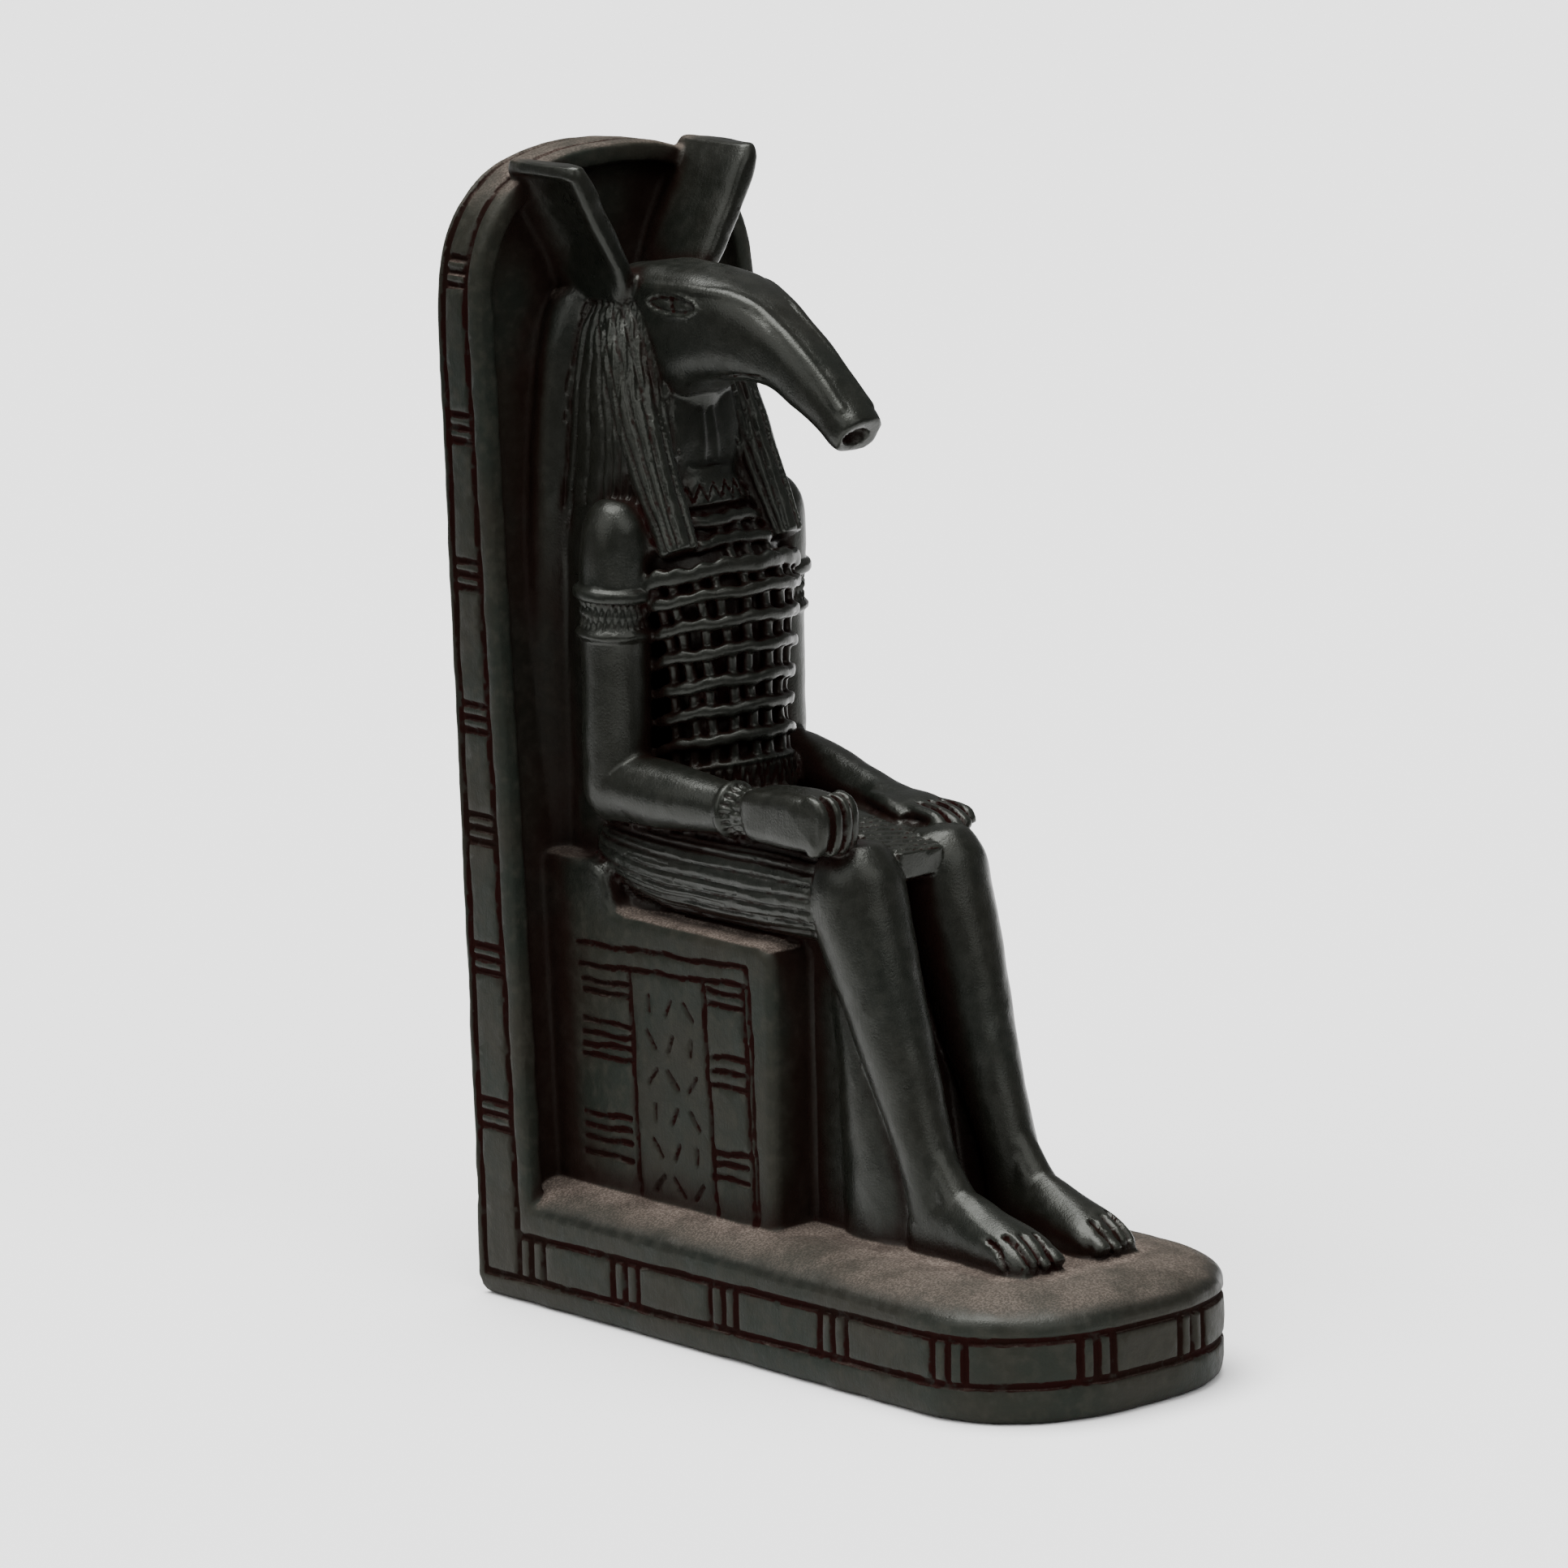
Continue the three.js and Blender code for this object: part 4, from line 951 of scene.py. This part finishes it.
def limb_strokes():
    for x, y, _ in slits(FOLDED_FINGERS):
        bends = [(y + 3.4, 97.6), (y + 0.5, 96.4), (y - 0.2, 92.6), (y + 1.0, 88.8)]
        yield curve_through([(-x, y, z) for y, z in bends]), "fist"
    for x, _, y in slits(FINGERS):
        yield curve_through([(x, -55, 91.4), (x, -59, 90.9), (x - 0.3, y, 88.6)]), "finger"
    for mirror in SIDES:
        for x, _, y in slits(TOES):
            bends = [(y + 5.0, 26.6), (y + 2.2, 25.2), (y, 22.6)]
            yield curve_through([(mirror * x, y, z) for y, z in bends]), "toe"


def snout_hole(points):
    """Presses one wide hole into the end of the snout."""
    aim = np.array([0, 0.8, 0.6])
    away = points - SNOUT_END
    along = away @ aim
    off = np.hypot(away[:, 0] / SNOUT_HOLE_HALF[0], (away @ [0, 0.6, -0.8]) / SNOUT_HOLE_HALF[1])
    pressed = (np.abs(along) < 3) * SNOUT_HOLE_DEPTH * np.clip(1 - off ** 4, 0, 1)
    return points + aim * pressed[:, None]


def strokes():
    """Every stroke: the points of its line and its kind."""
    for group in (
        slab_strokes, base_strokes, throne_strokes, armlet_strokes, collar_strokes,
        pleat_strokes, hair_strokes, face_strokes, limb_strokes,
    ):
        yield from group()


# Mesh work on arrays

def mesh_from(points, faces, name="form"):
    mesh = bpy.data.meshes.new(name)
    mesh.from_pydata([tuple(p) for p in points], [], faces)
    mesh.update()
    return mesh


def join_forms(found):
    points, faces, start = [], [], 0
    for form_points, form_faces in found:
        points.append(form_points)
        faces += [tuple(start + i for i in face) for face in form_faces]
        start += len(form_points)
    return mesh_from(np.concatenate(points), faces)


def put_in_scene(name, data):
    item = bpy.data.objects.new(name, data)
    bpy.context.scene.collection.objects.link(item)
    return item


def with_modifier(mesh, kind, **settings):
    """The mesh that one modifier makes of a mesh."""
    holder = put_in_scene("holder", mesh)
    modifier = holder.modifiers.new(kind.lower(), kind)
    for key, value in settings.items():
        setattr(modifier, key, value)
    graph = bpy.context.evaluated_depsgraph_get()
    result = bpy.data.meshes.new_from_object(holder.evaluated_get(graph))
    bpy.data.objects.remove(holder)
    bpy.data.meshes.remove(mesh)
    return result


def read(items, name, width, kind=np.float32):
    """One property of every item, a row for each."""
    values = np.empty(len(items) * width, kind)
    items.foreach_get(name, values)
    return values.reshape(-1, width)


def read_edges(mesh):
    return read(mesh.edges, "vertices", 2, np.int32)


def read_points(mesh):
    return read(mesh.vertices, "co", 3).astype(float)


def read_skin(mesh):
    """The points and their normals."""
    return read_points(mesh), read(mesh.vertex_normals, "vector", 3).astype(float)


def write_points(mesh, points):
    mesh.vertices.foreach_set("co", points.astype(np.float32).ravel())
    mesh.update()


def neighbour_mean(values, edges):
    count = len(values)
    share = np.maximum(np.bincount(edges.ravel(), minlength=count), 1)
    total = np.empty_like(values)
    for c in range(values.shape[1]):
        total[:, c] = np.bincount(edges[:, 0], values[edges[:, 1], c], count)
        total[:, c] += np.bincount(edges[:, 1], values[edges[:, 0], c], count)
    return total / share[:, None]


def soften(points, edges, steps):
    """Rounds what is finer than the steps reach, without shrinking the rest."""
    for _ in range(steps):
        for pull in (0.5, -0.52):
            points = points + pull * (neighbour_mean(points, edges) - points)
    return points


def carve(points, normals):
    """Moves the points along their normals by the strokes that pass near them."""
    cut, raised = stroke_depths(points, normals)
    return points + normals * (raised * (cut == 0) - cut)[:, None]


def stroke_depths(points, normals, dirty=False):
    """How deep the strokes, or the dirt in them, cut in and how far they stand out at each point."""
    cut, raised = np.zeros(len(points)), np.zeros(len(points))
    for line, kind in strokes():
        width, depth, reach, dirt = STROKES[kind]
        if dirty:
            depth *= dirt
        line = np.asarray(line, float)
        margin = width + 0.2 + reach
        for first in range(0, len(line) - 1, 6):
            part = line[first:first + 7]
            low, high = part.min(0) - margin, part.max(0) + margin
            near = np.nonzero(((points > low) & (points < high)).all(1))[0]
            if not len(near):
                continue
            p, n = points[near], normals[near]
            best = np.full(len(near), 1e9)
            for a, b in zip(part[:-1], part[1:]):
                run = b - a
                share = np.clip(((p - a) @ run) / max(run @ run, 1e-9), 0, 1)
                away = p - a - share[:, None] * run
                off = (away * n).sum(1)
                flat = np.sqrt(np.maximum((away ** 2).sum(1) - off ** 2, 0))
                best = np.minimum(best, np.where(np.abs(off) < reach, flat, 1e9))
            shape = np.clip(1 - np.minimum(best / width, 1) ** 2, 0, 1)
            if depth > 0:
                cut[near] = np.maximum(cut[near], shape * depth)
            else:
                raised[near] = np.maximum(raised[near], -shape * depth)
    return cut, raised


def uneven(points, normals):
    """Slow swells, as a surface worked by hand has."""
    swell = np.zeros(len(points))
    for k, pitch in enumerate((23.0, 14.0, 9.0)):
        turn = 1.9 * k
        along = points @ [math.cos(turn), math.sin(turn), 0.6] / pitch
        across = points @ [-math.sin(turn), math.cos(turn), 0.8] / pitch
        swell += np.sin(6.3 * along + 2 * np.sin(4.1 * across)) * np.sin(5.1 * across + k) * pitch
    return points + normals * swell[:, None] * SWELL


def largest_part(mesh):
    """Removes every loose part but the largest."""
    edges = read_edges(mesh)
    label = np.arange(len(mesh.vertices))
    while True:
        before = label.copy()
        np.minimum.at(label, edges, before[edges].min(1)[:, None])
        label = label[label]
        if (label == before).all():
            break
    keep = label == np.bincount(label).argmax()
    if keep.all():
        return mesh
    points = read_points(mesh)
    index = np.cumsum(keep) - 1
    faces = [tuple(int(index[v]) for v in f.vertices) for f in mesh.polygons if keep[f.vertices[0]]]
    bpy.data.meshes.remove(mesh)
    return mesh_from(points[keep], faces)


def soft_body():
    """The soft forms as one skin, with rounded joins."""
    mesh = with_modifier(join_forms(soft_forms()), "REMESH", mode="VOXEL", voxel_size=SOFT_VOXEL)
    points = soften(read_points(mesh), read_edges(mesh), SOFT_STEPS)
    faces = [tuple(f.vertices) for f in mesh.polygons]
    bpy.data.meshes.remove(mesh)
    return points, faces


def statue_mesh():
    mesh = with_modifier(join_forms([soft_body(), *crisp_forms()]), "REMESH", mode="VOXEL", voxel_size=VOXEL)
    write_points(mesh, soften(read_points(mesh), read_edges(mesh), SMOOTH_STEPS))
    write_points(mesh, uneven(*read_skin(mesh)))
    write_points(mesh, carve(*read_skin(mesh)))
    write_points(mesh, snout_hole(read_points(mesh)))
    triangles = sum(len(f.vertices) - 2 for f in mesh.polygons)
    mesh = with_modifier(mesh, "DECIMATE", ratio=TRIANGLES / triangles)
    mesh = with_modifier(mesh, "TRIANGULATE")
    mesh = largest_part(mesh)
    write_points(mesh, (read_points(mesh) + [0, FRAME_SHIFT, 0]) * MM)
    mesh.polygons.foreach_set("use_smooth", [True] * len(mesh.polygons))
    mesh.update()
    add_attributes(mesh)
    return with_modifier(mesh, "WEIGHTED_NORMAL", mode="FACE_AREA", weight=50)


# What the material reads at each vertex

def hemisphere(count):
    """Directions about +Z, closer together near it."""
    turn = np.arange(count) * math.pi * (3 - math.sqrt(5))
    high = np.sqrt(1 - (np.arange(count) + 0.5) / count)
    flat = np.sqrt(1 - high ** 2)
    return np.column_stack([flat * np.cos(turn), flat * np.sin(turn), high])


def shut_in(mesh, near, far):
    """How much of the view from each vertex is closed within two distances, from 0 to 1."""
    points, normals = read_skin(mesh)
    faces = [tuple(f.vertices) for f in mesh.polygons]
    tree = BVHTree.FromPolygons(points.tolist(), faces)
    helper = np.where(np.abs(normals[:, :1]) < 0.7, [[1.0, 0, 0]], [[0, 1.0, 0]])
    side = np.cross(helper, normals)
    side /= np.maximum(np.linalg.norm(side, axis=1)[:, None], 1e-9)
    other = np.cross(normals, side)
    starts = [Vector(p) for p in points + normals * near * 0.08]
    close, wide = np.zeros(len(points)), np.zeros(len(points))
    for direction in hemisphere(RAYS):
        aims = side * direction[0] + other * direction[1] + normals * direction[2]
        for i, (start, aim) in enumerate(zip(starts, aims.tolist())):
            distance = tree.ray_cast(start, aim, far)[3]
            if distance is not None:
                wide[i] += 1 - distance / far
                if distance < near:
                    close[i] += 1
    return close / RAYS, wide / RAYS


def edge_sharpness(mesh):
    """How strongly the surface bulges at each vertex."""
    points, normals = read_skin(mesh)
    edges = read_edges(mesh)
    lengths = ((points[edges[:, 0]] - points[edges[:, 1]]) ** 2).sum(1)
    share = np.bincount(edges.ravel(), minlength=len(points))
    spread = np.bincount(edges[:, 0], lengths, len(points)) + np.bincount(edges[:, 1], lengths, len(points))
    bulge = -((neighbour_mean(points, edges) - points) * normals).sum(1) / np.maximum(spread / share, 1e-12)
    return bulge * MM


def polished(y, z):
    """The figure is polished, and the step round the base's top less so."""
    off_slab = y < slab_front(z) - 0.5
    off_throne = (y < SEAT_FRONT - 0.6) | (z > SEAT_TOP + 1.2)
    figure = (z > BASE_TOP + 0.6) & off_slab & off_throne
    step = (np.abs(z - BASE_SIDE) < BASE_RIM) & (y < slab_front(z) - BASE_RIM)
    return np.maximum(figure, step * RIM_POLISH)


def add_attributes(mesh):
    edges = read_edges(mesh)
    close, wide = shut_in(mesh, RECESS_REACH * MM, SHADE_REACH * MM)
    points, normals = read_skin(mesh)
    points = points / MM - [0, FRAME_SHIFT, 0]
    cut = stroke_depths(points, normals, dirty=True)[0]
    values = {
        "recess": close,
        "shade": wide,
        "polish": polished(points[:, 1], points[:, 2]),
        "edge": np.clip(edge_sharpness(mesh) * 2.0 - 0.25, 0, 1),
        "groove": np.clip(cut * 1.6, 0, 1),
    }
    for name, value in values.items():
        for _ in range(SPREAD[name]):
            value = value + 0.6 * (neighbour_mean(value[:, None], edges)[:, 0] - value)
        mesh.attributes.new(name, "FLOAT", "POINT").data.foreach_set("value", value.astype(np.float32))


# Material

class Nodes:
    """A material and its nodes. A value is a number, a colour or another node's output."""

    def __init__(self, name):
        self.material = bpy.data.materials.new(name)
        self.material.use_nodes = True
        self.tree = self.material.node_tree

    def look(self, values):
        """Gives the material's shader its values."""
        for name, value in values.items():
            self.put(self.tree.nodes["Principled BSDF"].inputs[name], value)

    def put(self, socket, value):
        if isinstance(value, bpy.types.NodeSocket):
            self.tree.links.new(value, socket)
        else:
            socket.default_value = value

    def add(self, kind, inputs=None, **settings):
        node = self.tree.nodes.new(kind)
        for key, value in settings.items():
            setattr(node, key, value)
        for key, value in (inputs or {}).items():
            self.put(node.inputs[key], value)
        return node

    def between(self, value, low, high, first=0.0, last=1.0):
        """A value taken from one range to another, and held at its ends."""
        inputs = {"Value": value, "From Min": low, "From Max": high, "To Min": first, "To Max": last}
        return self.add("ShaderNodeMapRange", inputs, interpolation_type="SMOOTHSTEP").outputs["Result"]

    def maths(self, operation, a, b):
        return self.add("ShaderNodeMath", {0: a, 1: b}, operation=operation).outputs[0]

    def times(self, a, b):
        return self.maths("MULTIPLY", a, b)

    def highest(self, a, b):
        return self.maths("MAXIMUM", a, b)

    def blend(self, share, a, b):
        """Two numbers mixed by a share."""
        return self.add("ShaderNodeMix", {0: share, 2: a, 3: b}).outputs[0]

    def mixed(self, share, a, b):
        """Two colours mixed by a share."""
        a, b = (value if isinstance(value, bpy.types.NodeSocket) else (*value, 1) for value in (a, b))
        return self.add("ShaderNodeMix", {0: share, 6: a, 7: b}, data_type="RGBA").outputs[2]

    def noise(self, place, scale, detail=4.0):
        inputs = {"Vector": place, "Scale": scale, "Detail": detail, "Roughness": 0.55}
        return self.add("ShaderNodeTexNoise", inputs).outputs[0]

    def attribute(self, name):
        return self.add("ShaderNodeAttribute", attribute_name=name).outputs["Fac"]


def clean_stone(nodes, polish, wear_and_highlight, cloud, grain):
    """Cloudy grey-green, darker where it is polished, and paler on bulging edges, partly from wear and partly
    as a painted highlight.
    """
    colour = nodes.mixed(nodes.between(cloud, 0.35, 0.65), STONE_GREEN, STONE_GREY)
    colour = nodes.mixed(nodes.between(grain, 0.42, 0.75, 0, 0.6), colour, STONE_PALE)
    colour = nodes.mixed(nodes.times(polish, 0.75), colour, STONE_POLISHED)
    return nodes.mixed(nodes.times(wear_and_highlight, 0.6), colour, STONE_WEAR_AND_HIGHLIGHT)


def dirt_share(nodes, recess, groove, grain):
    """Dirt fills grooves and narrow recesses up to a ragged edge."""
    low = nodes.highest(recess, nodes.times(groove, 0.5))
    ragged = nodes.times(low, nodes.between(grain, 0.3, 0.7, 0.6, 1.4))
    return nodes.between(ragged, 0.2, 0.42)


def haze_and_shade_share(nodes, shade, polish, wear_and_highlight, cloud):
    """A film of red-brown soil over the wide hollows, which is also painted shade there; less on polished
    parts and on worn, highlighted edges.
    """
    shaded = nodes.maths("SUBTRACT", shade, nodes.times(polish, 0.09))
    haze_and_shade = nodes.times(nodes.between(shaded, 0.02, 0.25), nodes.between(cloud, 0.35, 0.6, 0.6, 1.0))
    return nodes.times(haze_and_shade, nodes.between(wear_and_highlight, 0.0, 0.5, 1.0, 0.4))


def dust_share(nodes, place, shade, polish):
    """Dust lies on matte parts that face up, more of it in the corners."""
    up = nodes.add("ShaderNodeSeparateXYZ", {"Vector": nodes.add("ShaderNodeNewGeometry").outputs["Normal"]})
    lies = nodes.times(nodes.between(up.outputs["Z"], 0.55, 0.95), nodes.maths("SUBTRACT", 1.0, polish))
    patches = nodes.between(nodes.noise(place, DUST_SCALE, 8), 0.36, 0.6, 0.5, 1.0)
    return nodes.times(nodes.times(lies, patches), nodes.between(shade, 0.0, 0.2, 0.55, 1.0))


def roughness(nodes, polish, wear_and_highlight, soiled, grain):
    matte, sleek = (nodes.between(grain, 0.3, 0.7, *ends) for ends in (ROUGH_MATTE, ROUGH_POLISHED))
    rough = nodes.blend(soiled, nodes.blend(polish, matte, sleek), ROUGH_DIRTY)
    return nodes.blend(nodes.times(wear_and_highlight, 0.9), rough, ROUGH_WORN)


def gloss(nodes, polish, wear_and_highlight, soiled, haze_and_shade):
    shine = nodes.blend(wear_and_highlight, nodes.blend(polish, GLOSS_MATTE, GLOSS_POLISHED), GLOSS_WORN)
    return nodes.blend(nodes.highest(soiled, nodes.times(haze_and_shade, 0.7)), shine, GLOSS_DIRTY)


def bumps(nodes, place, polish, grain, fine):
    """Grain, fainter where it is polished, and fine scratches that run up and down."""
    stretched = nodes.add("ShaderNodeMapping", {"Vector": place, "Scale": (1, 1, 0.12)})
    scratches = nodes.noise(stretched.outputs[0], SCRATCH_SCALE, 2)
    height = nodes.times(grain, nodes.between(polish, 0.2, 0.9, 1.0, 0.35))
    height = nodes.maths("ADD", height, nodes.times(fine, 0.35))
    height = nodes.maths("ADD", height, nodes.times(scratches, 0.25))
    inputs = {"Height": height, "Strength": 0.55, "Distance": 0.00025}
    return nodes.add("ShaderNodeBump", inputs).outputs[0]


def stone():
    """Dark grey-green stone, polished on the figure, with red-brown and pale dust in its recesses, painted
    shade in its wide hollows and a painted highlight on its bulging edges.
    """
    nodes = Nodes("stone")
    place = nodes.add("ShaderNodeTexCoord").outputs["Object"]
    recess, shade, polish, edge, groove = (nodes.attribute(name) for name in SPREAD)
    cloud, grain = nodes.noise(place, CLOUD_SCALE), nodes.noise(place, GRAIN_SCALE, 5)
    fine = nodes.noise(place, FINE_SCALE, 3)

    # Bulging edges are paler: partly wear, partly a painted highlight
    wear_and_highlight = nodes.times(edge, nodes.between(grain, 0.35, 0.6, 0.5, 1.0))
    dirt = dirt_share(nodes, recess, groove, grain)
    # Haze in the wide hollows, found by how shut in each point is: partly real red-brown soil, partly painted
    # shade
    haze_and_shade = haze_and_shade_share(nodes, shade, polish, wear_and_highlight, cloud)
    dust = dust_share(nodes, place, shade, polish)
    soiled = nodes.highest(dirt, dust)
    soil_and_shade_colour = nodes.mixed(nodes.between(cloud, 0.42, 0.62), DIRT_AND_SHADE_RED, DIRT_AND_SHADE_BROWN)
    colour = nodes.mixed(dirt, clean_stone(nodes, polish, wear_and_highlight, cloud, grain), soil_and_shade_colour)
    # Painted shade: the wide hollows are darkened towards the soil colour, which is also real soil there
    colour = nodes.mixed(nodes.times(haze_and_shade, 0.85), colour, soil_and_shade_colour)
    colour = nodes.mixed(dust, colour, nodes.mixed(nodes.between(fine, 0.42, 0.62), DUST_DARK, DUST))

    nodes.look({
        "Base Color": colour,
        "Roughness": roughness(nodes, polish, wear_and_highlight, soiled, grain),
        "Specular IOR Level": gloss(nodes, polish, wear_and_highlight, soiled, haze_and_shade),
        "Specular Tint": SHEEN,
        "Normal": bumps(nodes, place, polish, grain, fine),
    })
    return nodes.material


# Stage, light and camera

def stage():
    low, high = FLOOR_NEAR, FLOOR_FAR
    corners = [(low, low, 0), (high, low, 0), (high, high, 0), (low, high, 0)]
    floor = put_in_scene("floor", mesh_from(corners, [(0, 1, 2, 3)], "floor"))
    nodes = Nodes("floor")
    nodes.look({"Base Color": (FLOOR_GREY, FLOOR_GREY, FLOOR_GREY, 1), "Roughness": 0.9})
    floor.data.materials.append(nodes.material)


def sun(name, towards, strength):
    """A far, wide light that shines along a direction."""
    data = bpy.data.lights.new(name, "SUN")
    data.angle = math.radians(SUN_WIDTH)
    data.energy = strength
    put_in_scene(name, data).rotation_euler = Vector(towards).to_track_quat("-Z", "Y").to_euler()


def lights():
    world = bpy.data.worlds.new("world")
    world.use_nodes = True
    background = world.node_tree.nodes["Background"]
    background.inputs["Color"].default_value = (1, 1, 1, 1)
    background.inputs["Strength"].default_value = WORLD_LIGHT
    bpy.context.scene.world = world
    for name, towards, strength in SUNS:
        sun(name, towards, strength)


def camera():
    data = bpy.data.cameras.new("camera")
    data.sensor_width = 36
    data.lens = CAMERA_LENS
    data.clip_end = 30
    view = put_in_scene("camera", data)
    azimuth, elevation, roll = (math.radians(a) for a in (CAMERA_AZIMUTH, CAMERA_ELEVATION, CAMERA_ROLL))
    level = math.cos(elevation)
    back = Vector((math.sin(azimuth) * level, -math.cos(azimuth) * level, math.sin(elevation)))
    right = Vector((math.cos(azimuth), math.sin(azimuth), 0))
    turned_back = (back - right * CAMERA_ASIDE).normalized()
    turned_right = (right - turned_back * right.dot(turned_back)).normalized()
    axes = Matrix((turned_right, turned_back.cross(turned_right), turned_back)).transposed()
    place = Vector(CAMERA_TARGET) + back * CAMERA_DISTANCE
    view.matrix_world = Matrix.Translation(place) @ (axes @ Matrix.Rotation(-roll, 3, "Z")).to_4x4()
    bpy.context.scene.camera = view


def main():
    statue = put_in_scene("seth_statue_carved", statue_mesh())
    statue.data.materials.append(stone())
    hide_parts("seth_statue")
    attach(statue, "root")
    stage()
    lights()
    camera()


main()
